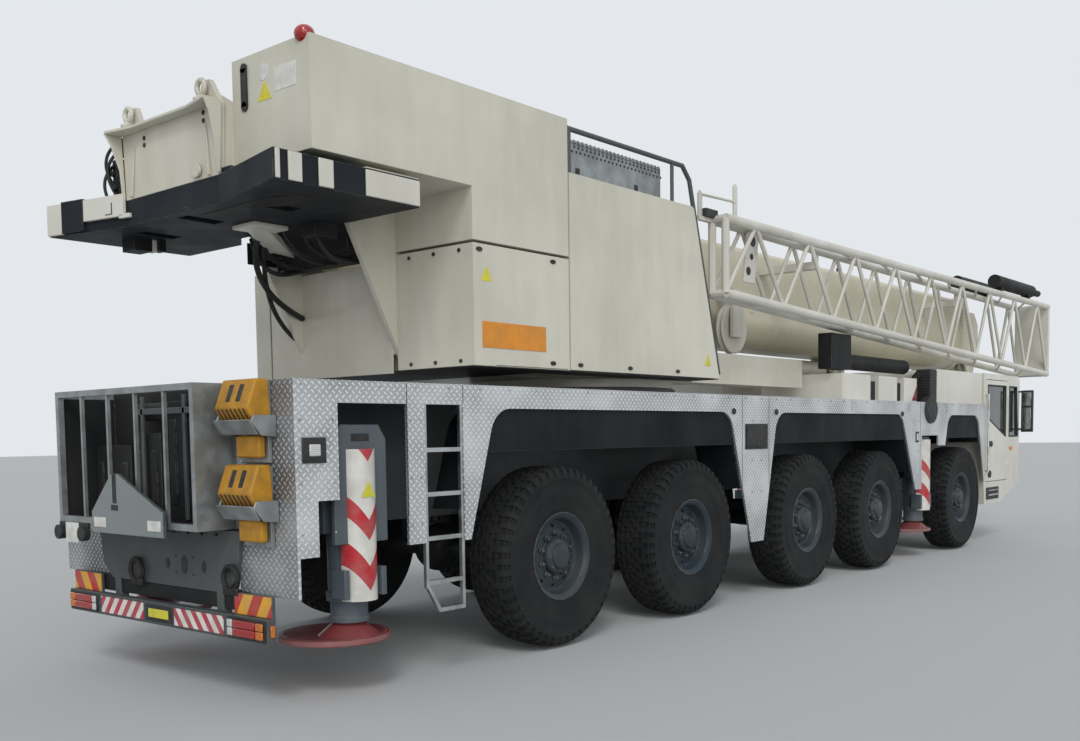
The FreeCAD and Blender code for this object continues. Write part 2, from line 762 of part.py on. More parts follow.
def rear_rack():
    shell = box("rack_shell", ("rack_rear", "frame_rear"), ("rack_right", "rack_left"),
                ("rack_bottom", "rack_top"))
    hollow = box("rack_hollow", ("rack_rear + rack_rail", "frame_rear - rack_wall"),
                 ("rack_right + rack_wall", "rack_left - rack_wall"), ("rack_bottom + rack_wall",
                                                                       "rack_top + 5"))
    mouth = box("rack_mouth", ("rack_rear - 5", "rack_rear + rack_rail + 5"),
                ("rack_right + rack_rail", "rack_left - rack_rail"), ("rack_bottom + rack_rail",
                                                                      "rack_top - rack_rail"))
    pieces = [cut("rack_open", shell, [hollow, mouth])]
    for i in range(4):
        middle = "rack_right + (rack_left - rack_right) * %d / 5" % (i + 1)
        pieces.append(box("rack_bar_%d" % i, ("rack_rear + 6", "rack_rear + 6 + rack_bar"),
                          (middle + " - rack_bar / 2", middle + " + rack_bar / 2"),
                          ("rack_bottom + rack_rail / 2", "rack_top - rack_rail / 2")))
    node("rear_rack", fuse("rack_whole", pieces))


def rear_bumper():
    beam = box("bumper_beam", ("bumper_rear", "tail_plate_rear"),
               ("-bumper_half_width", "bumper_half_width"),
               ("bumper_bottom", "bumper_top"))
    board = box("bumper_board", ("tail_plate_rear - 20", "tail_plate_rear"),
                ("bumper_half_width - board_width", "bumper_half_width"), ("bumper_top - 20",
                                                                           "board_top"))
    node("rear_bumper", fuse("bumper_whole", [beam, board, mirrored("bumper_board_left", board)]))


def wheel_chocks():
    items = []
    for i, low in enumerate((1000, 1480)):
        wedge = prism("chock_%d" % i, "y", [
            ("body_rear", low), ("body_rear - chock_depth + 30", low + 30), ("body_rear - chock_depth",
                                                                             low + 200),
            ("body_rear - chock_depth + 70", "%d + chock_height - 10" % low), ("body_rear",
                "%d + chock_height" % low)],
            ("chock_near_inset - body_half_width", "chock_far_inset - body_half_width"))
        items.append(wedge)
    node("wheel_chocks", group("chock_group", items))


def access_ladders():
    depth = ("body_half_width - 33", "body_half_width - 7")
    stile = box("ladder_rear_stile", ("ladder_rear", "ladder_rear + ladder_stile"), depth,
                (620, "ladder_top"))
    other = box("ladder_front_stile", ("ladder_front - ladder_stile", "ladder_front"), depth,
                (450, "ladder_top"))
    rungs = [box("ladder_rung_%d" % i, ("ladder_rear + 10", "ladder_front - 10"), depth,
                 (z, "%d + rung_height" % z))
             for i, z in enumerate((640, 930, 1220, 1510))]
    foot = prism("ladder_foot_bar", "y", [
        ("ladder_rear", 640), ("ladder_rear + ladder_stile", 640), ("ladder_rear + 130",
                                                                    "450 + rung_height"),
        ("ladder_front - 10", "450 + rung_height"), ("ladder_front - 10", 450), ("ladder_rear + 115",
                                                                                 450)], depth)
    node("access_ladders", both_sides("ladder_pair", fuse("ladder_whole", [stile, other, foot] + rungs)))


def cab_body(name, inset):
    """The cab's outer form, or its hollow when inset by the wall."""
    i = "%d" % inset
    side = prism(name + "_side", "y", [
        ("cab_rear + cab_foot_lean + " + i, "cab_bottom + " + i), ("cab_chin - %s / 2" % i,
                                                                   "cab_bottom + " + i),
        ("cab_front - 60 - " + i, "cab_chin_top + %s / 2" % i), ("cab_front - " + i,
                                                                 "windscreen_bottom - 60"),
        ("cab_front - windscreen_lean - " + i,
         "cab_top - 90"), ("cab_front - windscreen_lean - 130 - " + i, "cab_top - " + i),
        ("cab_rear + " + i, "cab_top - " + i), ("cab_rear + " + i, "cab_sill")],
        ("%s - cab_half_width" % i, "cab_half_width - " + i))
    corner = "(cab_front_corner - %s / 3)" % i
    plan = prism(name + "_plan", "z", [
        ("cab_rear + " + i, "%s - cab_half_width" % i), ("cab_front - %s - %s / 2 + 5" % (i, corner),
                                                         "%s - cab_half_width" % i),
        ("cab_front - %s + 5" % i, "%s - cab_half_width + %s" % (i, corner)),
        ("cab_front - %s + 5" % i, "cab_half_width - %s - %s" % (i, corner)),
        ("cab_front - %s - %s / 2 + 5" % (i, corner), "cab_half_width - " + i), ("cab_rear + " + i,
            "cab_half_width - " + i)],
        ("cab_bottom - 10", "cab_top + 10"))
    return common(name, side, plan)


def window_cut(name, points, side_sign):
    span = ("cab_half_width - 200", "cab_half_width + 50")
    span = span if side_sign > 0 else ("-cab_half_width - 50", "200 - cab_half_width")
    return prism(name, "y", points, span)


def carrier_cab():
    shell = cut("cab_shell", cab_body("cab_outer", 0), [cab_body("cab_hollow", s.cab_wall)])
    floor = box("cab_floor", ("cab_rear + 10", "cab_front - 150"),
                ("20 - cab_half_width", "cab_half_width - 20"),
                ("cab_sill - 40", "cab_sill"))
    tools = [box("windscreen_cut", ("cab_front - 330", "cab_front + 50"),
                 ("250 - cab_half_width", "cab_half_width - 250"),
                 ("windscreen_bottom", "windscreen_top"))]
    doors = []
    for side, sign in SIDES:
        edge = ("cab_half_width - cab_wall - 12", "cab_half_width + 5")
        edge = edge if sign > 0 else ("-cab_half_width - 5", "cab_wall + 12 - cab_half_width")
        tools.append(box("door_cut_" + side, ("door_rear", "door_hinge"), edge,
                         ("door_bottom", "door_top")))
        tools.append(window_cut("quarter_cut_" + side, [
            ("door_hinge + 70", 1500), ("door_hinge + 70", 2230), ("cab_front - 260",
                2230), ("cab_front - 200", 1500)], sign))
        leaf = box("door_leaf_" + side, ("door_rear + door_gap", "door_hinge - door_gap"), edge,
                   ("door_bottom + door_gap", "door_top - door_gap"))
        barrels = []
        for low in (1080, 2080):
            centre = ("door_hinge", "%d * cab_half_width" % sign)
            tools.append(rod("hinge_hole_%s_%d" % (side, low), "z", centre,
                             "door_hinge_radius + door_hinge_clearance",
                             ("%d - door_hinge_clearance" % low,
                              "%d + door_hinge_clearance" % (low + 90))))
            barrels.append(rod("hinge_%s_%d" % (side, low), "z", centre, "door_hinge_radius",
                               (low, low + 90)))
        pane = window_cut("door_window_" + side, [
            ("door_rear + 70", 1770), ("door_rear + 70", 2230), ("door_hinge - 80",
                                                                 2230), ("door_hinge - 80", 1500)], sign)
        doors.append(("cab_door_" + side, leaf, pane, barrels))
    walls = fuse("cab_walls", [shell, floor])
    node("carrier_cab", cut("cab_cut", walls, tools))
    solid = cut("cab_wall_only", cab_body("cab_outer_again", 0),
                [cab_body("cab_hollow_again", s.cab_wall)])
    for label, leaf, pane, barrels in doors:
        skin = cut(label + "_cut", common(label + "_leaf", solid, leaf), [pane])
        node(label, fuse(label + "_hung", [skin] + barrels))


def cab_glass():
    lean = "windscreen_lean / (cab_top - 90 - windscreen_bottom + 60)"
    face = "cab_front - 20 - (%s) * (%s)"
    low, high = "windscreen_bottom + 2", "windscreen_top - 2"
    front_low = face % (lean, "62")
    front_high = face % (lean, "windscreen_top - windscreen_bottom + 58")
    screen = prism("windscreen", "y", [(front_low, low), (front_high, high),
                                       (front_high + " - glass", high),
                                       (front_low + " - glass", low)], ("262 - cab_half_width",
                                                                        "cab_half_width - 262"))
    panes = [screen]
    for side, sign in SIDES:
        span = ("cab_half_width - 24", "cab_half_width - 24 + glass")
        span = span if sign > 0 else ("24 - glass - cab_half_width", "24 - cab_half_width")
        panes.append(prism("quarter_pane_" + side, "y", [
            ("door_hinge + 72", 1502), ("door_hinge + 72", 2228), ("cab_front - 262",
                2228), ("cab_front - 202", 1502)], span))
    node("cab_glass", group("glass_group", panes))


def cab_interior():
    items = []
    for side, sign in SIDES:
        y = "%d * (cab_half_width - 730)" % sign
        base = box("seat_base_" + side, ("cab_rear + 350", "cab_rear + 850"),
                   (y + " - 240", y + " + 240"),
                   ("cab_sill", "cab_sill + 400"))
        back = prism("seat_back_" + side, "y", [
            ("cab_rear + 350", "cab_sill + 380"), ("cab_rear + 230",
                "cab_sill + 1020"), ("cab_rear + 330", "cab_sill + 1060"),
            ("cab_rear + 470", "cab_sill + 390")], (y + " - 230", y + " + 230"))
        items.append(fuse("seat_" + side, [base, back]))
    dash = prism("dash", "y", [
        ("cab_rear + 1230", "cab_sill + 200"), ("cab_rear + 1190", "cab_sill + 340"), ("cab_rear + 1310",
                                                                                       "cab_sill + 430"),
        ("cab_rear + 1490", "cab_sill + 430"), ("cab_rear + 1570", "cab_sill"), ("cab_rear + 1380",
                                                                                 "cab_sill")],
        ("200 - cab_half_width", "cab_half_width - 200"))
    driver = s.cab_half_width - 730
    centre, tilt = Vector(s.cab_rear + 1070, driver, s.cab_sill + 560), Vector(-0.55, 0, 1).normalize()
    wheel = Part.makeTorus(215, 15, centre, tilt)
    hub = Part.makeCylinder(45, 60, centre - tilt * 50, tilt)
    spokes = [bar(centre, centre + arm, 12) for arm in (LEFT * 214, LEFT * -214, tilt.cross(LEFT) * 214)]
    column = bar(centre, centre + Vector(220, 0, -231), 26)
    items.append(fuse("controls", [dash, shaped("steering_wheel",
                                                wheel.multiFuse([hub, column] + spokes))]))
    node("cab_interior", group("interior_group", items))


def cab_mirrors():
    head = box("mirror_head", ("cab_front - 205", "cab_front - 145"),
               ("cab_half_width + 50", "cab_half_width + 210"), (1560, 2180))
    arms = [box("mirror_arm_%d" % z, ("cab_front - 185", "cab_front - 160"),
                ("cab_half_width", "cab_half_width + 70"), (z, z + 25))
            for z in (1590, 2150)]
    node("cab_mirrors", both_sides("mirror_pair", fuse("mirror_whole", [head] + arms)))


def deck_boxes():
    right = [box("deck_box_%d" % i, ("axle_2 + %d" % low, "axle_2 + %d" % high),
                 ("-box_outer", "-box_inner"),
                 ("deck_top", "box_top"))
             for i, (low, high) in enumerate(((-850, -100), (130, 670), (880, 1290)))]
    left = [mirrored(item.Name + "_left", item) for item in right]
    cover = rounded("engine_cover", prism("engine_cover_block", "y", [
        ("cover_rear", "deck_top"), ("cover_rear", "cover_top"), ("body_front - 20",
            "cover_top"), ("body_front - 20", "deck_top")],
        ("20 - cab_half_width", "cab_half_width - 20")), "y", (1,), 70)
    hollow = box("engine_cover_hollow", ("cover_rear + 30", "body_front - 50"),
                 ("-frame_half_width", "frame_half_width"),
                 ("deck_top - 5", "cover_top - 40"))
    stack = box("intake_stack", ("cover_rear - 250", "cover_rear - 40"),
                ("30 - body_half_width", "195 - body_half_width"),
                ("deck_top", "cover_top - 20"))
    node("deck_boxes", group("box_group", right + left + [cut("engine_cover_open", cover, [hollow]),
                                                          stack]))


def carrier_engine():
    block = box("engine_block", ("engine_bay_rear + 110", "body_front - 180"),
                ("60 - frame_half_width", "frame_half_width - 60"),
                ("engine_bay_floor", "cover_top - 90"))
    node("carrier_engine", group("engine_group", [block]))


def slewing_platform():
    base = rod("platform_ring", "z", ("slew_x", 0), "ring_radius - 20",
               ("ring_top + ring_gap", "platform_bottom"))
    plate = ("platform_bottom", "platform_bottom + platform_plate")
    slab = box("platform_slab", ("pivot_x + 60", "platform_front"), ("-tower_outer", "tower_outer"),
               plate)
    nose = box("platform_nose", ("nose_rear", "nose_front"), ("nose_side", "-tower_outer"),
               ("platform_bottom", "nose_top"))
    cross = box("platform_cross", ("platform_front - 400", "platform_front"),
                ("nose_side", "tower_outer"), plate)
    tower = prism("tower_plate", "y", [
        ("pivot_x + 60", "platform_bottom"), ("platform_front", "platform_bottom"), ("platform_front",
                                                                                     2450),
        ("platform_front / 2", 2620),
        ("pivot_x + 330", "pivot_z + 260"), ("pivot_x - 280",
                                             "pivot_z + 260"), ("ballast_middle_rear + 30", 3740),
        ("ballast_middle_rear + 30", "ballast_top"), (-1440, "ballast_top")],
        ("tower_outer - tower_wall", "tower_outer"))
    towers = [tower, mirrored("tower_left", tower)]
    back = prism("lug_plate", "x", [
        ("-tower_outer", "ballast_top"), ("-tower_outer - 20", 3690), (-470, 3850), (-400, 3850), (-330,
                                                                                                   3700),
        (330, 3700), (400, 3850), (470, 3850), ("tower_outer + 20", 3690), ("tower_outer",
                                                                            "ballast_top")],
        ("ballast_middle_rear", "ballast_middle_rear + 35"))
    lug_holes = [rod("lug_hole_" + side, "x", ("%d * lug_y" % sign, "lug_z"), "lug_bore",
                     ("ballast_middle_rear - 5", "ballast_middle_rear + 45"))
                 for side, sign in SIDES]
    pin = rod("pivot_pin", "y", ("pivot_x", "pivot_z"), "pivot_radius", ("-tower_outer", "tower_outer"))
    shaft = rod("winch_shaft", "y", ("winch_x", "winch_z"), "winch_shaft_radius",
                ("-tower_outer", "tower_outer"))
    ears = [box("ram_ear_" + side, ("ram_foot_x - 110", "ram_foot_x + 110"),
                (sign * 170 - 22, sign * 170 + 22),
                ("platform_bottom + platform_plate - 10", "ram_foot_z + 80")) for side, sign in SIDES]
    ram_pin = rod("ram_pin", "y", ("ram_foot_x", "ram_foot_z"), 45, (-190, 190))
    cab_arm = box("opcab_arm", (1480, "opcab_pivot_x - 60"), ("tower_outer - 10", "opcab_outer - 40"),
                  ("platform_bottom", "platform_bottom + 120"))
    cab_pin = rod("opcab_pin", "y", ("opcab_pivot_x", "opcab_pivot_z"), 20,
                  ("opcab_inner + 40", "opcab_outer - 50"))
    cab_lugs = [prism("opcab_lug_%d" % i, "y", [
        ("opcab_pivot_x - 100", "platform_bottom"), ("opcab_pivot_x - 100", "opcab_pivot_z + 20"),
        ("opcab_pivot_x + 24", "opcab_pivot_z + 20"), ("opcab_pivot_x + 24", "opcab_pivot_z - 26"),
        ("opcab_pivot_x - 45", "platform_bottom")], (y, y + 30)) for i, y in enumerate((640, 1260))]
    whole = fuse("platform_whole", [base, slab, cross, nose, pin, shaft, ram_pin, cab_arm,
                                    cab_pin] + towers + ears + cab_lugs
                 + [cut("lug_plate_bored", back, lug_holes)])
    node("slewing_platform", whole)


def housings():
    side = ("-side_half_width", "-side_inner")
    lower = box("housing_low", ("low_housing_rear", "low_housing_front"), side,
                ("platform_bottom", "low_housing_top"))
    seam = "low_housing_top + housing_seam"
    upper = prism("housing_up", "y", [
        ("high_housing_rear", "high_housing_bottom"), ("low_housing_rear",
                                                       "high_housing_bottom"), ("low_housing_rear", seam),
        ("low_housing_front", seam), ("low_housing_front", "high_housing_top"), ("high_housing_rear",
            "high_housing_top")], side)
    panel = rounded("side_panel", prism("side_panel_block", "y", [
        ("panel_rear", "platform_bottom + 5"), ("panel_front",
                                                "platform_bottom + 5"), ("panel_front_top", "panel_top"),
        ("panel_rear", "panel_top")], side), "y", (2,), s.panel_edge_radius)
    back = box("back_wall", ("low_housing_rear", "low_housing_rear + 60"),
               ("tower_wall + 5 - tower_outer", "tower_outer - tower_wall - 5"),
               ("platform_bottom + 120", "low_housing_top - 45"))
    left = prism("housing_left", "z", [
        ("left_housing_rear", "left_housing_corner_y"), ("left_housing_corner_x", "side_half_width"),
        ("left_housing_front", "side_half_width"), ("left_housing_front", "side_inner"),
        ("left_housing_rear + 45", "side_inner"), ("left_housing_rear + 45", "left_housing_corner_y")],
        ("platform_bottom + 5", "left_housing_top"))
    node("housings", group("housing_group", [lower, upper, panel, back, left]))


def cooler_and_rail():
    rear = s.panel_rear + 24
    pack = box("cooler", ("panel_rear + 24", "cooler_front"), ("cooler_near", "cooler_far"),
               ("panel_top", "cooler_top"))
    corners = ((rear, s.panel_top), (rear, s.hand_rail_top), (s.panel_front_top - 70, s.hand_rail_top),
               (s.panel_front + 55, s.platform_bottom + 25))
    rail = tube_path([Vector(x, s.hand_rail_y, z) for x, z in corners], s.hand_rail_radius,
                     s.hand_rail_bend)
    node("cooler_and_rail", group("cooler_group", [pack, shaped("rail", rail)]))


def counterweight():
    slab = prism("ballast_slab", "z", [
        ("ballast_front", "-side_half_width"), ("ballast_rear",
            "-side_half_width"), ("ballast_middle_rear", "-ballast_middle_half"),
        ("ballast_middle_rear", "ballast_middle_half"), ("ballast_rear", "side_half_width"),
        ("ballast_front", "side_half_width"), ("ballast_front", "ballast_notch_half + 140"),
        ("ballast_front - ballast_notch", "ballast_notch_half"), ("ballast_front - ballast_notch",
                                                                  "-ballast_notch_half"),
        ("ballast_front", "-ballast_notch_half - 140")],
        ("ballast_bottom", "ballast_top"))
    pockets = [box("ballast_pocket_%d" % i, ("%d - pocket_half_length" % x,
                                             "%d + pocket_half_length" % x),
                   ("%d - pocket_half_width" % y, "%d + pocket_half_width" % y),
                   ("ballast_bottom - 5", "ballast_bottom + pocket_depth"))
               for i, (x, y) in enumerate(((-2050, -700), (-2050, 700), (-2150, 0)))]
    node("counterweight", cut("ballast_cut", slab, pockets))


def winch_drum():
    drum = rod("winch_core", "y", ("winch_x", "winch_z"), "winch_radius", (-430, 430))
    flanges = [rod("winch_flange_" + side, "y", ("winch_x", "winch_z"), "winch_flange",
                   (sign * 442 - 12, sign * 442 + 12))
               for side, sign in SIDES]
    bore = rod("winch_bore", "y", ("winch_x", "winch_z"), "winch_shaft_radius + pin_clearance",
               (-460, 460))
    node("winch_drum", cut("winch_bored", fuse("winch_whole", [drum] + flanges), [bore]))


def operator_cab():
    profile = [("opcab_rear", "opcab_bottom"), ("opcab_front - 330", "opcab_bottom"),
               ("opcab_front", "opcab_bottom + 520"),
               ("opcab_front - 90", "opcab_top - 140"), ("opcab_front - 260",
                                                         "opcab_top"), ("opcab_rear", "opcab_top")]
    wall = "opcab_wall"
    inside = [("opcab_rear + " + wall, "opcab_bottom + " + wall),
              ("opcab_front - 350", "opcab_bottom + " + wall),
              ("opcab_front - 44", "opcab_bottom + 535"), ("opcab_front - 132", "opcab_top - 155"),
              ("opcab_front - 280", "opcab_top - " + wall), ("opcab_rear + " + wall,
                                                             "opcab_top - " + wall)]
    outer = prism("opcab_body", "y", profile, ("opcab_inner", "opcab_outer"))
    hollow = prism("opcab_hollow", "y", inside, ("opcab_inner + " + wall, "opcab_outer - " + wall))
    windows = [
        box("opcab_front_window", ("opcab_front - 200", "opcab_front + 50"),
            ("opcab_inner + 70", "opcab_outer - 70"),
            ("opcab_bottom + 620", "opcab_top - 190")),
        box("opcab_side_window", ("opcab_rear + 120", "opcab_front - 200"),
            ("opcab_inner - 5", "opcab_inner + 100"),
            ("opcab_bottom + 700", "opcab_top - 150")),
        box("opcab_doorway", ("opcab_front - 960", "opcab_front - 230"),
            ("opcab_outer - 100", "opcab_outer + 5"),
            ("opcab_bottom + 90", "opcab_top - 110")),
        box("opcab_rear_side_window", ("opcab_rear + 110", "opcab_front - 1040"),
            ("opcab_outer - 100", "opcab_outer + 5"),
            ("opcab_bottom + 700", "opcab_top - 150")),
    ]
    shell = cut("opcab_shell", outer, [hollow] + windows)
    ears = []
    for i, y in enumerate((690, 1190)):
        ear = rod("opcab_ear_%d" % i, "y", ("opcab_pivot_x", "opcab_pivot_z"), 42, (y, y + 40))
        web = box("opcab_web_%d" % i, ("opcab_pivot_x", "opcab_rear + 10"), (y, y + 40),
                  ("opcab_pivot_z - 30", "opcab_pivot_z + 30"))
        ears += [ear, web]
    seat = fuse("operator_seat", [
        box("operator_seat_base", ("opcab_rear + 450", "opcab_rear + 960"),
            ("opcab_inner + 140", "opcab_outer - 140"),
            ("opcab_bottom + " + wall, "opcab_bottom + 520")),
        prism("operator_seat_back", "y", [
            ("opcab_rear + 450", "opcab_bottom + 450"), ("opcab_rear + 320", "opcab_bottom + 1150"),
            ("opcab_rear + 420", "opcab_bottom + 1170"), ("opcab_rear + 580", "opcab_bottom + 450")],
            ("opcab_inner + 150", "opcab_outer - 150"))])
    bore = rod("opcab_bore", "y", ("opcab_pivot_x", "opcab_pivot_z"), "20 + pin_clearance", (600, 1300))
    node("operator_cab", cut("opcab_bored", fuse("opcab_whole", [shell, seat] + ears), [bore]))
    leaf = box("operator_door_leaf", ("opcab_front - 980", "opcab_front - 210"),
               ("opcab_outer + 6", "opcab_outer + 32"),
               ("opcab_bottom + 70", "opcab_top - 90"))
    pane = box("operator_door_window", ("opcab_front - 910", "opcab_front - 280"),
               ("opcab_outer - 20", "opcab_outer + 60"),
               ("opcab_bottom + 700", "opcab_top - 150"))
    node("operator_door", cut("operator_door_cut", leaf, [pane]))


def luffing_ram():
    foot, eye = Vector(s.ram_foot_x, 0, s.ram_foot_z), Vector(s.ram_eye_x, 0, s.ram_eye_z)
    line = (eye - foot).normalize()
    length = (eye - foot).Length
    barrel = Part.makeCylinder(s.ram_radius, length - 330, foot + line * 60, line)
    barrel = barrel.fuse(Part.makeCylinder(s.ram_radius - 8, 250, foot - LEFT * 125, LEFT))
    barrel = barrel.cut(Part.makeCylinder(s.ram_bore, length, foot + line * s.ram_rod_start, line))
    barrel = barrel.cut(Part.makeCylinder(46, 300, foot - LEFT * 150, LEFT))
    node("luffing_barrel", shaped("luffing_barrel_shape", barrel))
    piston = Part.makeCylinder(s.ram_rod_radius, length - s.ram_rod_start - 60,
                               foot + line * (s.ram_rod_start + 10), line)
    piston = piston.fuse(Part.makeCylinder(105, 200, eye - LEFT * 100, LEFT))
    piston = piston.cut(Part.makeCylinder(45, 220, eye - LEFT * 110, LEFT))
    node("luffing_rod", shaped("luffing_rod_shape", piston))


def boom_section(name, shrink, xs, wall):
    """One hollow boom section: flat top with small corners and a deep rounded belly."""
    half, top, low = s.boom_half_width - shrink, s.boom_top - shrink, s.boom_bottom + shrink

    def wire(inset):
        h, t, b = half - inset, top - inset, low + inset
        small, belly = s.boom_edge_radius, s.boom_belly_radius - 0.8 * shrink - inset
        c = math.sqrt(0.5)

        def line(p, q):
            return Part.makeLine(Vector(0, *p), Vector(0, *q))

        def arc(p, q, r):
            return Part.Arc(Vector(0, *p), Vector(0, *q), Vector(0, *r)).toShape()

        return Part.Wire([
            line((-h + small, t), (h - small, t)), arc((h - small, t),
                (h - small + small * c, t - small + small * c), (h, t - small)),
            line((h, t - small), (h, b + belly)),
            arc((h, b + belly), (h - belly + belly * c, b + belly - belly * c), (h - belly, b)),
            line((h - belly, b), (-h + belly, b)),
            arc((-h + belly, b), (-h + belly - belly * c, b + belly - belly * c), (-h, b + belly)),
            line((-h, b + belly), (-h, t - small)),
            arc((-h, t - small), (-h + small - small * c, t - small + small * c), (-h + small, t))])

    def solid(inset, low_x, high_x):
        face = Part.Face(wire(inset))
        body = face.extrude(FORWARD * (high_x - low_x))
        body.translate(FORWARD * low_x)
        return body

    start, end = xs
    tube = solid(0, start, end).fuse(solid(-s.collar_height, end - s.collar_length, end))
    return tube.cut(solid(wall, start - 5, end + 5))


def boom():
    base = boom_section("base", 0, (s.boom_rear, s.boom_front), s.boom_wall)
    foot = Part.makePolygon([Vector(s.pivot_x, 0, s.pivot_z + 225),
                             Vector(s.boom_rear + 10, 0, s.boom_top - 80),
                             Vector(s.boom_rear + 10, 0, s.boom_bottom + 320), Vector(s.pivot_x, 0,
                                                                                      s.pivot_z - 225),
                             Vector(s.pivot_x, 0, s.pivot_z + 225)])
    cheeks = []
    for sign in (-1, 1):
        outer = sign * s.boom_half_width
        face = Part.Face(foot)
        face.translate(LEFT * (outer if sign < 0 else outer - 60))
        cheek = face.extrude(LEFT * 60)
        boss = Part.makeCylinder(225, 60, Vector(s.pivot_x, outer if sign < 0 else outer - 60,
                                                 s.pivot_z), LEFT)
        cheeks += [cheek, boss]
    close = Part.makeBox(40, 2 * s.boom_half_width - 20, s.boom_top - s.boom_bottom - 420,
                         Vector(s.boom_rear - 30, 10 - s.boom_half_width, s.boom_bottom + 340))
    ears = [Part.makeBox(320, 40, s.boom_bottom - s.ram_eye_z + 130,
                         Vector(s.ram_eye_x - 160, y - 20, s.ram_eye_z - 120))
            for y in (-145, 145)]
    base = base.multiFuse(cheeks + ears + [close])
    base = base.cut(Part.makeCylinder(s.pivot_radius + s.pin_clearance, 1200,
                                      Vector(s.pivot_x, -600, s.pivot_z), LEFT))
    base = base.cut(Part.makeCylinder(60, 400, Vector(s.ram_eye_x, -200, s.ram_eye_z), LEFT))
    node("boom_base", shaped("boom_base_shape", base))
    for i in range(1, 6):
        start = s.boom_rear + s.boom_inside * i + 60
        end = s.boom_front + s.boom_stagger * i
        shape = boom_section("section", s.boom_step * i, (start, end), s.boom_wall - 4)
        if i == 5:
            shape = shape.multiFuse(boom_head(end))
        node("telescope_%d" % i, shaped("telescope_%d_shape" % i, shape))


def boom_head(end):
    """Cheek plates and rope sheaves at the tip of the innermost section."""
    shrink = 5 * s.boom_step
    top, low, half = s.boom_top - shrink, s.boom_bottom + shrink, s.boom_half_width - shrink
    outline_points = [(end - 40, top - 30), (end + 80, top + 60), (s.head_front - 240, top + 60),
                      (s.head_front - 60, top - 120),
                      (s.head_front - 60, top - 420), (end + 420, low - 190), (end + 120,
                          low - 190), (end - 40, low + 60)]
    wire = Part.makePolygon([Vector(x, 0, z) for x, z in outline_points + outline_points[:1]])
    pieces = []
    for y in (-half + 2, half - 32):
        face = Part.Face(wire)
        face.translate(LEFT * y)
        pieces.append(face.extrude(LEFT * 30))
    r = s.head_sheave_radius
    for x, z in ((s.head_front - r, top - 170), (end + 270, low - 20)):
        pieces.append(Part.makeCylinder(40, 2 * half - 4, Vector(x, 2 - half, z), LEFT))
        for y in (-170, -60, 60, 170):
            pieces.append(Part.makeCylinder(r - 30 if x < s.head_front - r else r, 44,
                                            Vector(x, y - 22, z), LEFT))
    return pieces


def lattice_jib():
    def corner(share, near, upper):
        x = s.jib_rear + share * (s.jib_front - s.jib_rear)
        far = s.jib_far_rear + share * (s.jib_far_front - s.jib_far_rear)
        low = s.jib_low_rear + share * (s.jib_low_front - s.jib_low_rear)
        return Vector(x, s.jib_near if near else far, s.jib_top if upper else low)

    chords = [Part.makeCylinder(s.chord_radius, (corner(1, n, u) - corner(0, n, u)).Length,
                                corner(0, n, u),
                                corner(1, n, u) - corner(0, n, u)) for n in (True, False) for u in (True,
                                    False)]
    laces, bays = [], 9
    for i in range(bays):
        here, half, after = i / bays, (i + 0.5) / bays, (i + 1) / bays
        for near in (True, False):
            laces += [bar(corner(here, near, False), corner(half, near, True), s.lace_radius),
                      bar(corner(half, near, True), corner(after, near, False), s.lace_radius)]
        for upper in (True, False):
            laces.append(bar(corner(here, True, upper), corner(after, False, upper), s.lace_radius - 4,
                             4))
    ends = []
    for share in (0, 1):
        for near in (True, False):
            ends.append(bar(corner(share, near, False), corner(share, near, True),
                            s.chord_radius - s.jib_end_step, 8))
        for upper in (True, False):
            ends.append(bar(corner(share, True, upper), corner(share, False, upper),
                            s.chord_radius - s.jib_end_step, 8))
    arms = []
    for x in (4600, 9300):
        share = (x - s.jib_rear) / (s.jib_front - s.jib_rear)
        far = s.jib_far_rear + share * (s.jib_far_front - s.jib_far_rear)
        arms.append(Part.makeBox(90, -s.boom_half_width - far, 80, Vector(x, far, s.jib_top - 200)))
        arms.append(Part.makeBox(60, 50, 200, Vector(x + 15, far - 10, s.jib_top - 190)))
    whole = chords[0].multiFuse(chords[1:] + laces + ends + arms)
    node("lattice_jib", shaped("jib_shape", whole))


def jib_rams():
    block = box("under_block", (4900, 5400), ("under_ram_y - 80", "under_ram_y + 80"),
                ("under_ram_z - 95", "under_ram_z + 295"))
    tube = rod("under_tube", "x", ("under_ram_y", "under_ram_z"), "under_ram_radius", (5390, 7080))
    items = [fuse("under_whole", [block, tube])]
    for i, (y, low, high) in enumerate(((-1200, 10200, 12300), (-760, 9900, 11700))):
        tube = rod("top_ram_%d" % i, "x", (y, "top_ram_z"), "top_ram_radius", (low, high - 400))
        piston = rod("top_rod_%d" % i, "x", (y, "top_ram_z"), "top_rod_radius", (high - 410, high))
        saddles = [box("top_saddle_%d_%d" % (i, x), (x, x + 60), (y - 60, y + 60),
                       ("jib_top + chord_radius + 6", "top_ram_z"))
                   for x in (low + 150, high - 650)]
        items.append(fuse("top_ram_whole_%d" % i, [tube, piston] + saddles))
    node("jib_rams", group("jib_ram_group", items))


chassis_frame()
axle_beams()
side_skirts()
deck()
arch_liners()
rear_rack()
rear_bumper()
wheel_chocks()
access_ladders()
carrier_cab()
cab_glass()
cab_interior()
cab_mirrors()
deck_boxes()
carrier_engine()
stabilisers()
knuckles()
wheels()
slewing_platform()
housings()
cooler_and_rail()
counterweight()
winch_drum()
operator_cab()
luffing_ram()
boom()
lattice_jib()
jib_rams()
doc.recompute()

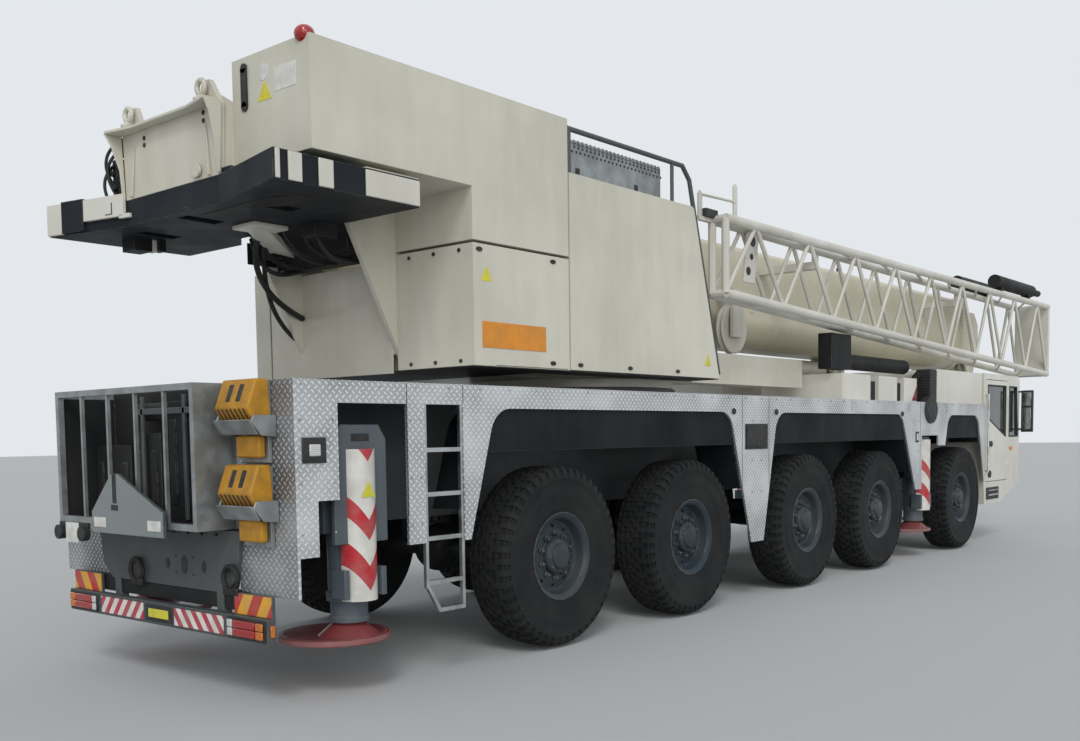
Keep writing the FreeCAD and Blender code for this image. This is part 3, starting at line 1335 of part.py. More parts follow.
for item in doc.Objects:
    if "Invalid" in item.State or "Error" in item.State:
        raise RuntimeError("%s failed to build: %s" % (item.Name, item.State))
os.makedirs("parts", exist_ok=True)
for item in nodes:
    shape = item.Shape
    if shape.isNull() or not shape.isValid() or not shape.Solids:
        raise RuntimeError("%s has no valid solid" % item.Label)
    shape.exportStep("parts/%s.step" % item.Label)
    box_ = shape.BoundBox
    print("%-28s %2d solids, X %6.0f..%6.0f Y %6.0f..%6.0f Z %5.0f..%5.0f" % (
        item.Label, len(shape.Solids), box_.XMin, box_.XMax, box_.YMin, box_.YMax, box_.ZMin, box_.ZMax))
print(len(nodes), "sub-parts")
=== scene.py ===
"""Looks for a five-axle mobile crane: cream coachwork, tread plate skirts, dark ballast."""
import math
from functools import partial

import bmesh
import bpy
from mathutils import Matrix, Vector


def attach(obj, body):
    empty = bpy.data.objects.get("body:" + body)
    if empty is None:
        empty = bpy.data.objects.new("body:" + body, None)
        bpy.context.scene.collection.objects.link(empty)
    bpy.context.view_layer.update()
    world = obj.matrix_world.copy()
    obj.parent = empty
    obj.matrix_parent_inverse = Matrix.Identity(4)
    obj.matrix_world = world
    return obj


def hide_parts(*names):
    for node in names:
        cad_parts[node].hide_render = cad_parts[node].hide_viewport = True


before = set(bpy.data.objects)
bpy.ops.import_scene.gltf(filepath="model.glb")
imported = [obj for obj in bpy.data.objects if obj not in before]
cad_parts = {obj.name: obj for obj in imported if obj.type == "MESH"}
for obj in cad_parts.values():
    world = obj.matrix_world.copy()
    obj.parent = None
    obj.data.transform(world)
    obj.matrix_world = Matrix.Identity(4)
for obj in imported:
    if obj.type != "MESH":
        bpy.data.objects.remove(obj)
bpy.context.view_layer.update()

# Pieces are drawn with X = 0 at the rearmost axle and then moved to the middle of the crane.
TO_MIDDLE = -4.814
SIDES = (("right", -1), ("left", 1))
AXLES = (("5", 0.0), ("4", 1.81), ("3", 4.04), ("2", 5.86), ("1", 8.56))
HUB_HEIGHT = 0.695
WHEEL_MIDDLE = 1.167
SKIRT_FACE = 1.375
CAB_FACE = 1.35
HOUSING_FACE = 1.33
END_PLATE = -2.51
FILM_SPAN = (-2.574, -2.5695)
HITCH_FACE = -2.7905
LEG_Y = 1.16
COVER_Y = 1.245
COVER_RADIUS = 0.125
LUG_FACE = -2.372
BALLAST_FOOT = 3.0795
STABILISERS = (("rear", -1.93, 1.54, 1.69), ("front", 7.30, 1.49, 1.525))


# Materials

def linear(hex_colour):
    """An sRGB hex value as the linear colour that the shaders take."""
    parts = [int(hex_colour[i:i + 2], 16) / 255 for i in (1, 3, 5)]
    return tuple(c / 12.92 if c <= 0.04045 else ((c + 0.055) / 1.055) ** 2.4 for c in parts) + (1.0,)


def feed(item, inputs):
    """Link the sockets and set the plain values and hex colours that feed a node."""
    for key, value in inputs.items():
        if isinstance(value, bpy.types.NodeSocket):
            item.id_data.links.new(value, item.inputs[key])
        else:
            item.inputs[key].default_value = linear(value) if isinstance(value, str) else value


def add(tree, kind, wanted, inputs, **settings):
    """Add a node with its settings and what feeds it, and return the output that is wanted."""
    item = tree.nodes.new("ShaderNode" + kind)
    for key, value in settings.items():
        setattr(item, key, value)
    feed(item, inputs)
    return item.outputs[wanted] if wanted else None


def start_material(name, sockets):
    """A material with one Principled shader; returns it, add for its tree, the shader and object coordinates."""
    material = bpy.data.materials.new(name)
    material.use_nodes = True
    material.node_tree.nodes.clear()
    node = partial(add, material.node_tree)
    surface = node("BsdfPrincipled", "BSDF", sockets)
    node("OutputMaterial", None, {"Surface": surface})
    return material, node, surface.node, node("TexCoord", "Object", {})


def blotches(node, place, size, low, high, detail=4.0, stretch=(1, 1, 1)):
    """Noise of a real size in metres, spread over a range."""
    spread = node("Mapping", "Vector", {"Vector": place, "Scale": stretch})
    noise = node("TexNoise", "Fac", {"Vector": spread, "Scale": 1 / size, "Detail": detail})
    return node("MapRange", "Result", {"Value": noise, "From Min": 0.35, "From Max": 0.65, "To Min": low,
                                       "To Max": high})


def coach_paint(name, clean, dirty, roughness=0.38, dust=0.3, gloss=0.5):
    """Two-pack enamel sprayed on folded sheet steel.

    It gives the eye a soft gloss, edges rounded by the paint with a paler edge tone that is partly rubbed wear and
    partly a painted edge highlight, and road dust in wide patches.
    """
    material, node, shader, place = start_material(name, {"IOR": 1.5, "Specular IOR Level": gloss,
                                                          "Coat Weight": gloss / 2, "Coat Roughness": 0.12})
    patches = blotches(node, place, 0.9, 0.0, dust)
    runs = blotches(node, place, 0.12, 0.0, dust * 0.35, stretch=(1, 1, 0.2))
    amount = node("Math", "Value", {0: patches, 1: runs}, operation="ADD", use_clamp=True)
    colour = node("Mix", "Result", {"Factor": amount, "A": clean, "B": dirty}, data_type="RGBA")
    # The fold of a sheet, about 4 mm, drawn at 7 mm so that it shows
    folded = node("Bevel", "Normal", {"Radius": 0.007}, samples=4)
    flat = node("NewGeometry", "Normal", {})
    turn = node("VectorMath", "Value", {0: folded, 1: flat}, operation="DOT_PRODUCT")
    # Edge tone on the rounded folds: partly rubbed wear, partly a painted edge highlight
    rubbed = node("MapRange", "Result", {"Value": turn, "From Min": 0.99, "From Max": 0.8, "To Min": 0.0,
                                         "To Max": 0.5})
    worn = node("Math", "Value", {0: rubbed, 1: blotches(node, place, 0.05, 0.0, 1.0)}, operation="MULTIPLY")
    pale = node("Mix", "Result", {"Factor": worn, "A": colour, "B": "#B9B7AE"}, data_type="RGBA")
    # Orange peel, drawn at 6 mm so that it shows
    peel = node("Bump", "Normal", {"Height": blotches(node, place, 0.006, 0.0, 1.0, 2.0), "Distance": 0.0004,
                                   "Strength": 0.5, "Normal": folded})
    feed(shader, {"Base Color": pale, "Normal": peel, "Roughness": blotches(node, place, 0.4, roughness - 0.06,
                                                                            roughness + 0.14)})
    return material


def tread_plate(name, clean, dirty, pitch=0.036):
    """Rolled aluminium tread plate.

    Short lozenges stand up in turned pairs, bright on top and darker between, from dust and painted shade in the
    hollows. The real ones are about
    30 mm apart, and are drawn at 36 mm so that they show.
    """
    material, node, shader, place = start_material(name, {"Metallic": 0.5})
    x = node("SeparateXYZ", "X", {"Vector": place})
    y, z = x.node.outputs["Y"], x.node.outputs["Z"]
    normal = node("VectorMath", "Vector", {0: place.node.outputs["Normal"]}, operation="ABSOLUTE")
    facing = node("SeparateXYZ", "X", {"Vector": normal})
    endwise = node("Math", "Value", {0: facing, 1: 0.7}, operation="GREATER_THAN")
    upward = node("Math", "Value", {0: facing.node.outputs["Z"], 1: 0.7}, operation="GREATER_THAN")
    across = node("Mix", "Result", {"Factor": endwise, "A": x, "B": y})
    along = node("Mix", "Result", {"Factor": upward, "A": z, "B": y})
    laid = node("CombineXYZ", "Vector", {"X": across, "Y": along})
    cells = node("Mapping", "Vector", {"Vector": laid, "Rotation": (0, 0, math.radians(45)),
                                       "Scale": (1 / pitch, 1 / pitch, 0)})
    odd = node("TexChecker", "Fac", {"Vector": cells, "Scale": 1.0})
    inside = node("VectorMath", "Vector", {0: cells}, operation="FRACTION")
    centred = node("VectorMath", "Vector", {0: inside, 1: (0.5, 0.5, 0)}, operation="SUBTRACT")
    first = node("SeparateXYZ", "X", {"Vector": centred})
    swapped = node("CombineXYZ", "Vector", {"X": first.node.outputs["Y"], "Y": first})
    turned_pair = node("Mix", "Result", {"Factor": odd, "A": centred, "B": swapped}, data_type="VECTOR")
    narrow = node("VectorMath", "Vector", {0: turned_pair, 1: (0.46, 0.19, 1.0)}, operation="DIVIDE")
    far = node("VectorMath", "Value", {0: narrow}, operation="LENGTH")
    lozenge = node("MapRange", "Result", {"Value": far, "From Min": 1.0, "From Max": 0.75, "To Min": 0.0,
                                          "To Max": 1.0})
    # The hollows between the lozenges take dust and painted shade
    hollow_dust_and_shade = node("MapRange", "Result", {"Value": lozenge, "To Min": 1.0, "To Max": 0.08})
    dust = node("Math", "Value", {0: blotches(node, place, 0.45, 0.32, 0.66), 1: hollow_dust_and_shade}, operation="MULTIPLY")
    # Spray settles on the plates that face along the crane
    spray = node("Math", "Value", {0: endwise, 1: 0.35}, operation="MULTIPLY")
    amount = node("Math", "Value", {0: dust, 1: spray}, operation="ADD", use_clamp=True)
    colour = node("Mix", "Result", {"Factor": amount, "A": clean, "B": dirty}, data_type="RGBA")
    feed(shader, {"Base Color": colour, "Roughness": node("MapRange", "Result", {"Value": lozenge, "To Min": 0.55,
                                                                                 "To Max": 0.36}),
                  "Normal": node("Bump", "Normal", {"Height": lozenge, "Distance": 0.002, "Strength": 0.8})})
    return material


def tyre_rubber(name):
    """Vulcanised carbon-black rubber: matt, greyed by dry dust that stays in the hollows."""
    material, node, shader, place = start_material(name, {"IOR": 1.52, "Roughness": 0.84, "Specular IOR Level": 0.3})
    amount = node("Math", "Value", {0: blotches(node, place, 0.25, 0.05, 0.4), 1: blotches(node, place, 0.012, -0.08,
                                                                                           0.12)}, operation="ADD")
    colour = node("Mix", "Result", {"Factor": amount, "A": "#101214", "B": "#343433"}, data_type="RGBA")
    grain = node("Bump", "Normal", {"Height": blotches(node, place, 0.008, 0.0, 1.0, 6.0), "Distance": 0.0012,
                                    "Strength": 0.6})
    feed(shader, {"Base Color": colour, "Normal": grain})
    return material


def steel(name, colour, dirty, roughness, metallic=1.0, grain=0.004):
    """Drawn, machined or galvanised steel: a dull metal shine broken by oil, zinc bloom and a little rust."""
    material, node, shader, place = start_material(name, {"Metallic": metallic})
    mixed = node("Mix", "Result", {"Factor": blotches(node, place, 0.12, 0.0, 0.6), "A": colour, "B": dirty},
                 data_type="RGBA")
    rubbed = node("Bump", "Normal", {"Height": blotches(node, place, grain, 0.0, 1.0, 2.0), "Distance": 0.0003,
                                     "Strength": 0.4})
    feed(shader, {"Base Color": mixed, "Normal": rubbed, "Roughness": blotches(node, place, 0.05, roughness - 0.06,
                                                                               roughness + 0.1)})
    return material


def filmed(name, pattern, first, second):
    """Retro-reflective film in two colours, its surface broken up by prism cells and a film of dust."""
    material, node, shader, place = start_material(name, {"IOR": 1.46, "Roughness": 0.42})
    split = node("SeparateXYZ", "X", {"Vector": place})
    stripe = pattern(node, split, split.node.outputs["Y"], split.node.outputs["Z"])
    colour = node("Mix", "Result", {"Factor": stripe, "A": first, "B": second}, data_type="RGBA")
    dusty = node("Mix", "Result", {"Factor": blotches(node, place, 0.1, 0.0, 0.3), "A": colour, "B": "#8F8A80"},
                 data_type="RGBA")
    # The film's prism cells, drawn at 9 mm so that they show
    cells = node("TexVoronoi", "Distance", {"Vector": place, "Scale": 1 / 0.009})
    pressed = node("Bump", "Normal", {"Height": cells, "Distance": 0.0006, "Strength": 0.4})
    feed(shader, {"Base Color": dusty, "Normal": pressed})
    return material


def slanting(width, lean):
    """Stripes of one width across the crane, leaning one way."""
    def pattern(node, x, y, z):
        rise = node("Math", "Value", {0: z, 1: lean}, operation="MULTIPLY")
        slant = node("Math", "Value", {0: y, 1: rise}, operation="ADD")
        count = node("Math", "Value", {0: slant, 1: width}, operation="DIVIDE")
        part = node("Math", "Value", {0: count}, operation="FRACT")
        return node("Math", "Value", {0: part, 1: 0.5}, operation="GREATER_THAN")
    return pattern


def arrowheads(middle, bands):
    """Arrowheads that point down on the line x = middle, each band given by its middle and half height."""
    def pattern(node, x, y, z):
        off = node("Math", "Value", {0: x, 1: middle + TO_MIDDLE}, operation="SUBTRACT")
        away = node("Math", "Value", {0: off}, operation="ABSOLUTE")
        drop = node("Math", "Value", {0: away, 1: 1.3}, operation="MULTIPLY")
        level = node("Math", "Value", {0: z, 1: drop}, operation="SUBTRACT")
        shown = 0.0
        for centre, half in bands:
            band = node("Math", "Value", {0: level, 1: centre, 2: half}, operation="COMPARE")
            shown = node("Math", "Value", {0: shown, 1: band}, operation="MAXIMUM")
        return shown
    return pattern


def moulded_plastic(name, colour, dirty, roughness=0.5):
    """Injection-moulded plastic with a fine spark-eroded grain, faded in patches by the sun."""
    material, node, shader, place = start_material(name, {"IOR": 1.47})
    faded = node("Mix", "Result", {"Factor": blotches(node, place, 0.08, 0.0, 0.45), "A": colour, "B": dirty},
                 data_type="RGBA")
    grain = node("Bump", "Normal", {"Height": blotches(node, place, 0.003, 0.0, 1.0, 3.0), "Distance": 0.0003,
                                    "Strength": 0.5})
    feed(shader, {"Base Color": faded, "Normal": grain, "Roughness": blotches(node, place, 0.03, roughness - 0.05,
                                                                              roughness + 0.12)})
    return material


def woven_cover(name):
    """Flat-woven polyester seat cover over foam: two thread directions, a soft sheen and rubbed patches."""
    material, node, shader, place = start_material(name, {"Roughness": 0.9, "Sheen Weight": 0.35})
    # Threads of 1.5 mm, drawn at 5 mm so that they show
    warp = node("TexWave", "Fac", {"Vector": place, "Scale": 10.0}, bands_direction="X")
    weft = node("TexWave", "Fac", {"Vector": place, "Scale": 10.0}, bands_direction="Y")
    thread = node("Math", "Value", {0: warp, 1: weft}, operation="MULTIPLY")
    worn = node("Math", "Value", {0: blotches(node, place, 0.15, 0.0, 0.6), 1: thread}, operation="ADD", use_clamp=True)
    colour = node("Mix", "Result", {"Factor": worn, "A": "#24272B", "B": "#54565A"}, data_type="RGBA")
    weave = node("Bump", "Normal", {"Height": thread, "Distance": 0.0008, "Strength": 0.6})
    feed(shader, {"Base Color": colour, "Normal": weave})
    return material


def lens(name, colour):
    """Clear acrylic lamp lens, moulded with ribs inside that catch the light."""
    material, node, shader, place = start_material(name, {"IOR": 1.49, "Roughness": 0.08, "Coat Weight": 0.6})
    ribs = node("TexWave", "Fac", {"Vector": place, "Scale": 28.0}, bands_direction="Z")
    shade = node("Math", "Value", {0: ribs, 1: 0.35}, operation="MULTIPLY")
    tint = node("Mix", "Result", {"Factor": shade, "A": colour, "B": "#200503"}, data_type="RGBA")
    ridge = node("Bump", "Normal", {"Height": ribs, "Distance": 0.0008, "Strength": 0.5})
    feed(shader, {"Base Color": tint, "Normal": ridge})
    return material


def tinted_glass(name):
    """Laminated safety glass with a green-grey tint and a thin film of dust."""
    material, node, shader, place = start_material(name, {"IOR": 1.5, "Roughness": 0.05, "Coat Weight": 0.5,
                                                          "Alpha": 0.78})
    dusty = node("Mix", "Result", {"Factor": blotches(node, place, 0.3, 0.0, 0.3), "A": "#222B2B", "B": "#5C635E"},
                 data_type="RGBA")
    feed(shader, {"Base Color": dusty})
    return material


CREAM = coach_paint("cream_coach_enamel", "#D6D3C4", "#A29C8A")
BOOM_CREAM = coach_paint("yellower_boom_enamel", "#D3CDB6", "#A0977F", 0.42)
PALE = coach_paint("pale_cream_enamel", "#DDDBD0", "#A7A295", 0.42)
JIB_CREAM = coach_paint("weathered_jib_enamel", "#DAD8CE", "#9A9589", 0.5, 0.35)
BALLAST = coach_paint("navy_black_ballast_enamel", "#161B22", "#35383A", 0.6, 0.3, 0.12)
FRAME_GREY = coach_paint("frame_grey_enamel", "#434B4F", "#65635E", 0.5, 0.35, 0.25)
HITCH_GREY = coach_paint("light_grey_enamel", "#7C8587", "#8E8C85", 0.46, 0.3)
SHIELD_GREY = coach_paint("blue_grey_leg_enamel", "#4A5660", "#6B6B69", 0.5, 0.35, 0.3)
LINER = coach_paint("black_grey_arch_enamel", "#15191E", "#36383A", 0.7, 0.35, 0.1)
RIM = coach_paint("slate_rim_enamel", "#28333B", "#4C4E4C", 0.5, 0.4, 0.25)
SOOT = coach_paint("soot_black_enamel", "#16191C", "#3D3B38", 0.65, 0.4, 0.15)
PAD_RED = coach_paint("dark_red_pad_enamel", "#822A32", "#6C4A42", 0.5, 0.5)
WORN_RED = coach_paint("rubbed_red_rim_enamel", "#8C4549", "#857069", 0.55, 0.5)
TREAD = tread_plate("aluminium_tread_plate", "#EDEEEF", "#6C6E6F")
TYRE = tyre_rubber("road_tyre_rubber")
GALVANISED = steel("galvanised_sheet_steel", "#A0A5A6", "#777874", 0.45, 0.7)
ZINC = steel("zinc_plated_steel", "#C2C6C7", "#8A877F", 0.38)
CHROME = steel("hard_chromed_rod", "#D4D7D9", "#B2B4B4", 0.12)
DARK_STEEL = steel("oily_dark_steel", "#3A3B3C", "#5B4A3C", 0.42)
ROPE = steel("galvanised_wire_rope", "#77756F", "#3C3833", 0.5, 1.0, 0.006)
YELLOW = moulded_plastic("amber_chock_plastic", "#C08A22", "#7A5A24", 0.5)
BLACK = moulded_plastic("black_grained_plastic", "#1A1B1D", "#403E3B", 0.55)
HOSE = moulded_plastic("black_hose_rubber", "#17181A", "#33312F", 0.62)
TRIM = moulded_plastic("grey_cab_plastic", "#3A3D41", "#55575A", 0.6)
WHITE = moulded_plastic("white_reflective_plate", "#E2E2DC", "#A8A498", 0.4)
SIGN_ORANGE = moulded_plastic("orange_sign_plate", "#E2912B", "#B5803C", 0.42)
SIGN_YELLOW = moulded_plastic("yellow_sign_plate", "#D9D23A", "#A9A34A", 0.42)
COVER = woven_cover("woven_seat_cover")
GLASS = tinted_glass("tinted_cab_glass")
RED_LENS = lens("red_lamp_lens", "#B01412")
AMBER_LENS = lens("amber_lamp_lens", "#D9780F")
CLEAR_LENS = lens("clear_lamp_lens", "#D9DAD6")
BUMPER_FILM = {side: filmed("bumper_film_" + side, slanting(0.115, 0.8 * sign), "#E9E6E0", "#B93346") for side,
               sign in SIDES}
BOARD_FILM = {side: filmed("marker_board_film_" + side, slanting(0.2, -0.6 * sign), "#F0AE1C", "#C3281F") for side,
              sign in SIDES}
COVER_FILM = {place: filmed("leg_cover_film_" + place, arrowheads(x, ((0.74, 0.077), (1.04, 0.064), (1.6, 0.137))),
                            "#DAD8D0", "#B81F2D") for place, x, top, shield in STABILISERS}


# Shapes: each piece is drawn in bm, and piece() takes it off and clears bm for the next

bm = bmesh.new()


def stretch(made, size, move):
    """Scale the points that were made about the origin, and then move them."""
    bmesh.ops.scale(bm, vec=size, verts=made)
    bmesh.ops.translate(bm, vec=move, verts=made)


def block(low, high):
    """A box between two corners."""
    low, high = Vector(low), Vector(high)
    stretch(bmesh.ops.create_cube(bm, size=1.0)["verts"], high - low, (low + high) / 2)


def side_block(sign, xs, ys, zs):
    """A box on one side of the crane, with its spans in x, outward from the middle, and in z."""
    near, far = sorted(sign * y for y in ys)
    block((xs[0], near, zs[0]), (xs[1], far, zs[1]))


TURNS = {"x": Matrix.Rotation(math.pi / 2, 3, "Y"), "y": Matrix.Rotation(-math.pi / 2, 3, "X"), "z": Matrix.Identity(3)}


def rod(radius, length, steps):
    """A round bar on the z axis, which the caller turns and moves."""
    return bmesh.ops.create_cone(bm, cap_ends=True, segments=steps, radius1=radius, radius2=radius,
                                 depth=length)["verts"]


def drum(axis, centre, radius, length, steps=24):
    """A round bar with its middle at centre."""
    made = rod(radius, length, steps)
    bmesh.ops.rotate(bm, matrix=TURNS[axis], verts=made)
    bmesh.ops.translate(bm, vec=centre, verts=made)
    return made


def strut(start, end, radius, steps=12):
    """A round bar between two points."""
    start, end = Vector(start), Vector(end)
    made = rod(radius, (end - start).length, steps)
    bmesh.ops.rotate(bm, matrix=Vector((0, 0, 1)).rotation_difference(end - start).to_matrix(), verts=made)
    bmesh.ops.translate(bm, vec=(start + end) / 2, verts=made)


def bars(y, points, radius, steps=8, closed=True):
    """Round bars from point to point, all at one y."""
    for (xa, za), (xb, zb) in zip(points, points[1:] + (points[:1] if closed else [])):
        strut((xa, y, za), (xb, y, zb), radius, steps)


def pull(faces, push):
    """Extrude faces along a vector."""
    grown = bmesh.ops.extrude_face_region(bm, geom=faces)["geom"]
    bmesh.ops.translate(bm, vec=push, verts=[item for item in grown if isinstance(item, bmesh.types.BMVert)])


def slab(points, push):
    """A flat outline through points, pushed along a vector."""
    pull([bm.faces.new([bm.verts.new(p) for p in points])], push)


def plate(axis, at, outline, thick):
    """A flat outline where one coordinate is the same for all its points, made thick along that axis."""
    i = "xyz".index(axis)
    push = Vector()
    push[i] = thick
    slab([spot[:i] + (at,) + spot[i:] for spot in outline], push)


def hose(start, sag, end, radius, steps=14, sides=10):
    """A bent round hose from start to end, drawn towards the point sag."""
    start, sag, end = Vector(start), Vector(sag), Vector(end)
    rings = []
    for i in range(steps + 1):
        t = i / steps
        spot = start * (1 - t) ** 2 + sag * 2 * t * (1 - t) + end * t ** 2
        ahead = ((sag - start) * (1 - t) + (end - sag) * t).normalized()
        sideways = (sideways - ahead * sideways.dot(ahead)).normalized() if rings else ahead.orthogonal().normalized()
        upward = ahead.cross(sideways)
        rings.append([bm.verts.new(spot + (sideways * math.cos(a) + upward * math.sin(a)) * radius)
                      for a in (math.tau * k / sides for k in range(sides))])
    for near, far in zip(rings, rings[1:]):
        for k in range(sides):
            bm.faces.new((near[k], near[k - 1], far[k - 1], far[k]))
    bm.faces.new(rings[0])
    bm.faces.new(list(reversed(rings[-1])))


def turned(centre, profile, steps, axis="y", closed=True):
    """Spin a profile of radius and distance along the axis about it."""
    direction = {"x": Vector((1, 0, 0)), "y": Vector((0, 1, 0)), "z": Vector((0, 0, 1))}[axis]
    outward = Vector((0, 0, 1)) if axis != "z" else Vector((1, 0, 0))
    centre = Vector(centre)
    verts = [bm.verts.new(centre + outward * radius + direction * along) for radius, along in profile]
    edges = [bm.edges.new(pair) for pair in zip(verts, verts[1:])]
    if closed:
        edges.append(bm.edges.new((verts[-1], verts[0])))
    bmesh.ops.spin(bm, geom=verts + edges, cent=centre, axis=direction, angle=math.tau, steps=steps, use_merge=True)


def ring(centre, radius, thick, axis, around=28, section=10):
    """A round ring of round bar."""
    turned(centre, [(radius + thick * math.cos(a), thick * math.sin(a))
                        for a in (math.tau * k / section for k in range(section))], around, axis=axis)


def piece(name, body, finish, bevel=0.0, smooth=35, replaces=()):
    """Turn a bmesh into an object that rides on a body."""
    bmesh.ops.remove_doubles(bm, verts=bm.verts, dist=0.00005)
    bmesh.ops.recalc_face_normals(bm, faces=bm.faces)
    bmesh.ops.translate(bm, vec=(TO_MIDDLE, 0, 0), verts=bm.verts)
    mesh = bpy.data.meshes.new(name)
    bm.to_mesh(mesh)
    bm.clear()
    mesh.shade_smooth()
    mesh.set_sharp_from_angle(angle=math.radians(smooth))
    item = bpy.data.objects.new(name, mesh)
    bpy.context.scene.collection.objects.link(item)
    mesh.materials.append(finish)
    if bevel:
        edge = item.modifiers.new("edge", "BEVEL")
        edge.width = bevel
        edge.segments = 2
        edge.limit_method = "ANGLE"
        edge.angle_limit = math.radians(40)
    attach(item, body)
    if replaces:
        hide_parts(*replaces)
    return item


def both(build):
    """Run a builder for the right side and for the left side."""
    for side, sign in SIDES:
        build(side, sign)


# Wheels

def tyre(name, x, sign):
    """A tyre turned from its outline, with shoulder lugs and three rows of tread blocks raised from its faces."""
    centre = (x, sign * WHEEL_MIDDLE, HUB_HEIGHT)
    half = [(0.683, 0.0), (0.683, 0.045), (0.682, 0.052), (0.681, 0.1), (0.679, 0.108), (0.674, 0.155), (0.655, 0.176),
            (0.612, 0.184), (0.585, 0.1865), (0.58, 0.182), (0.52, 0.1865), (0.46, 0.185), (0.452, 0.181), (0.4, 0.178),
            (0.356, 0.166), (0.338, 0.162), (0.322, 0.15)]
    profile = [(r, -w) for r, w in reversed(half)] + half[1:]
    turned(centre, profile, 96)
    bm.normal_update()
    lugs = []
    for face in bm.faces:
        middle = face.calc_center_median() - Vector(centre)
        radius = math.hypot(middle.x, middle.z)
        step = int(round((math.atan2(middle.z, middle.x) / (math.tau) * 96) - 0.5))
        width = abs(middle.y)
        if radius > 0.63 and width > 0.105 and step % 2 == 0:
            lugs.append(face)
        elif radius > 0.676 and 0.055 < width < 0.1 and (step + (1 if middle.y > 0 else 0)) % 3:
            lugs.append(face)
        elif radius > 0.676 and width < 0.045 and (step + (1 if middle.y > 0 else 0)) % 2:
            lugs.append(face)
    bmesh.ops.inset_individual(bm, faces=lugs, thickness=0.004, depth=0.011)
    return piece(name, name.replace("tyre", "wheel"), TYRE, smooth=50,
                 replaces=[name.replace("tyre", "wheel")])


def rim(name, x, sign):
    """Pressed steel disc wheel with ten hand holes, ten nuts and a planetary hub."""
    centre = Vector((x, sign * WHEEL_MIDDLE, HUB_HEIGHT))
    profile = [(0.317, -0.148), (0.317, -0.12), (0.296, -0.1), (0.296, 0.04), (0.296, 0.13), (0.31, 0.148),
               (0.332, 0.156), (0.336, 0.164), (0.33, 0.168), (0.314, 0.16), (0.292, 0.148), (0.284, 0.13),
               (0.281, 0.085), (0.268, 0.064), (0.247, 0.062), (0.212, 0.072), (0.196, 0.078), (0.14, 0.078),
               (0.136, 0.082), (0.134, 0.118), (0.126, 0.13), (0.1, 0.138), (0.096, 0.156), (0.088, 0.163),
               (0.03, 0.166), (0.0, 0.166)]
    turned(centre, [(r, sign * w) for r, w in profile], 60, closed=False)
    bmesh.ops.remove_doubles(bm, verts=bm.verts, dist=0.0001)
    bmesh.ops.recalc_face_normals(bm, faces=bm.faces)
    bm.normal_update()
    holes = {}
    for face in bm.faces:
        middle = face.calc_center_median() - centre
        radius = math.hypot(middle.x, middle.z)
        step = int(math.atan2(middle.z, middle.x) / (math.tau) * 60 + 60)
        if 0.212 < radius < 0.247 and step % 6 in (2, 3):
            holes.setdefault(step // 6, []).append(face)
    for faces in holes.values():
        bmesh.ops.inset_region(bm, faces=faces, thickness=0.004)
        pull(faces, (0, -sign * 0.03, 0))
        bmesh.ops.delete(bm, geom=faces, context="FACES")
    for i in range(10):
        angle = math.tau * (i + 0.5) / 10
        spot = centre + Vector((0.168 * math.cos(angle), sign * 0.088, 0.168 * math.sin(angle)))
        drum("y", spot, 0.021, 0.012, 12)
        drum("y", spot + Vector((0, sign * 0.014, 0)), 0.0155, 0.026, 6)
        drum("y", spot + Vector((0, sign * 0.03, 0)), 0.009, 0.012, 8)
    for i in range(8):
        angle = math.tau * i / 8
        spot = centre + Vector((0.112 * math.cos(angle), sign * 0.137, 0.112 * math.sin(angle)))
        drum("y", spot, 0.008, 0.012, 6)
    return piece(name, name.replace("rim", "wheel"), RIM, smooth=40)


for number, axle_x in AXLES:
    for side, sign in SIDES:
        tyre("tyre_%s_%s" % (number, side), axle_x, sign)
        rim("rim_%s_%s" % (number, side), axle_x, sign)


# Tail of the carrier

CHOCK_LOWS = (1.03, 1.53)
CHOCK_NEAR, CHOCK_FAR = -1.2, -0.87
HOLDER_FACE = -2.484

for low in CHOCK_LOWS:
    plate("y", CHOCK_NEAR, [(-2.50, low + 0.12), (-2.60, low + 0.14), (-2.675, low + 0.26), (-2.61, low + 0.43),
                            (-2.52, low + 0.43)], CHOCK_FAR - CHOCK_NEAR)
    block((-2.565, CHOCK_NEAR + 0.05, low - 0.03), (-2.515, CHOCK_FAR - 0.05, low + 0.10))
piece("folding_chocks", "carrier", YELLOW, bevel=0.012, replaces=["wheel_chocks"])
# Ribs low on the wedge and two hand slots above them
for low in CHOCK_LOWS:
    for i in range(7):
        plate("y", CHOCK_NEAR + 0.035 + i * 0.042, [(-2.61, low + 0.147), (-2.679, low + 0.255), (-2.67, low + 0.258),
                                                    (-2.60, low + 0.15)], 0.007)
    for y in (CHOCK_NEAR + 0.09, CHOCK_NEAR + 0.19):
        plate("y", y, [(-2.663, low + 0.3), (-2.625, low + 0.4), (-2.616, low + 0.397), (-2.65, low + 0.297)], 0.04)
piece("chock_slots", "carrier", BLACK, bevel=0.002)
for low in CHOCK_LOWS:
    block((END_PLATE, -1.17, low - 0.06), (HOLDER_FACE, -0.9, low + 0.42))
    for y in (CHOCK_NEAR - 0.016, CHOCK_FAR + 0.004):
        plate("y", y, [(HOLDER_FACE, low + 0.22), (HOLDER_FACE, low + 0.09), (-2.59, low + 0.1), (-2.66, low + 0.18),
                       (-2.64, low + 0.22)], 0.012)
    plate("y", -1.216, [(-2.62, low + 0.105), (-2.675, low + 0.19), (-2.667, low + 0.195), (-2.612, low + 0.11)], 0.362)
piece("chock_holders", "carrier", GALVANISED, bevel=0.003)


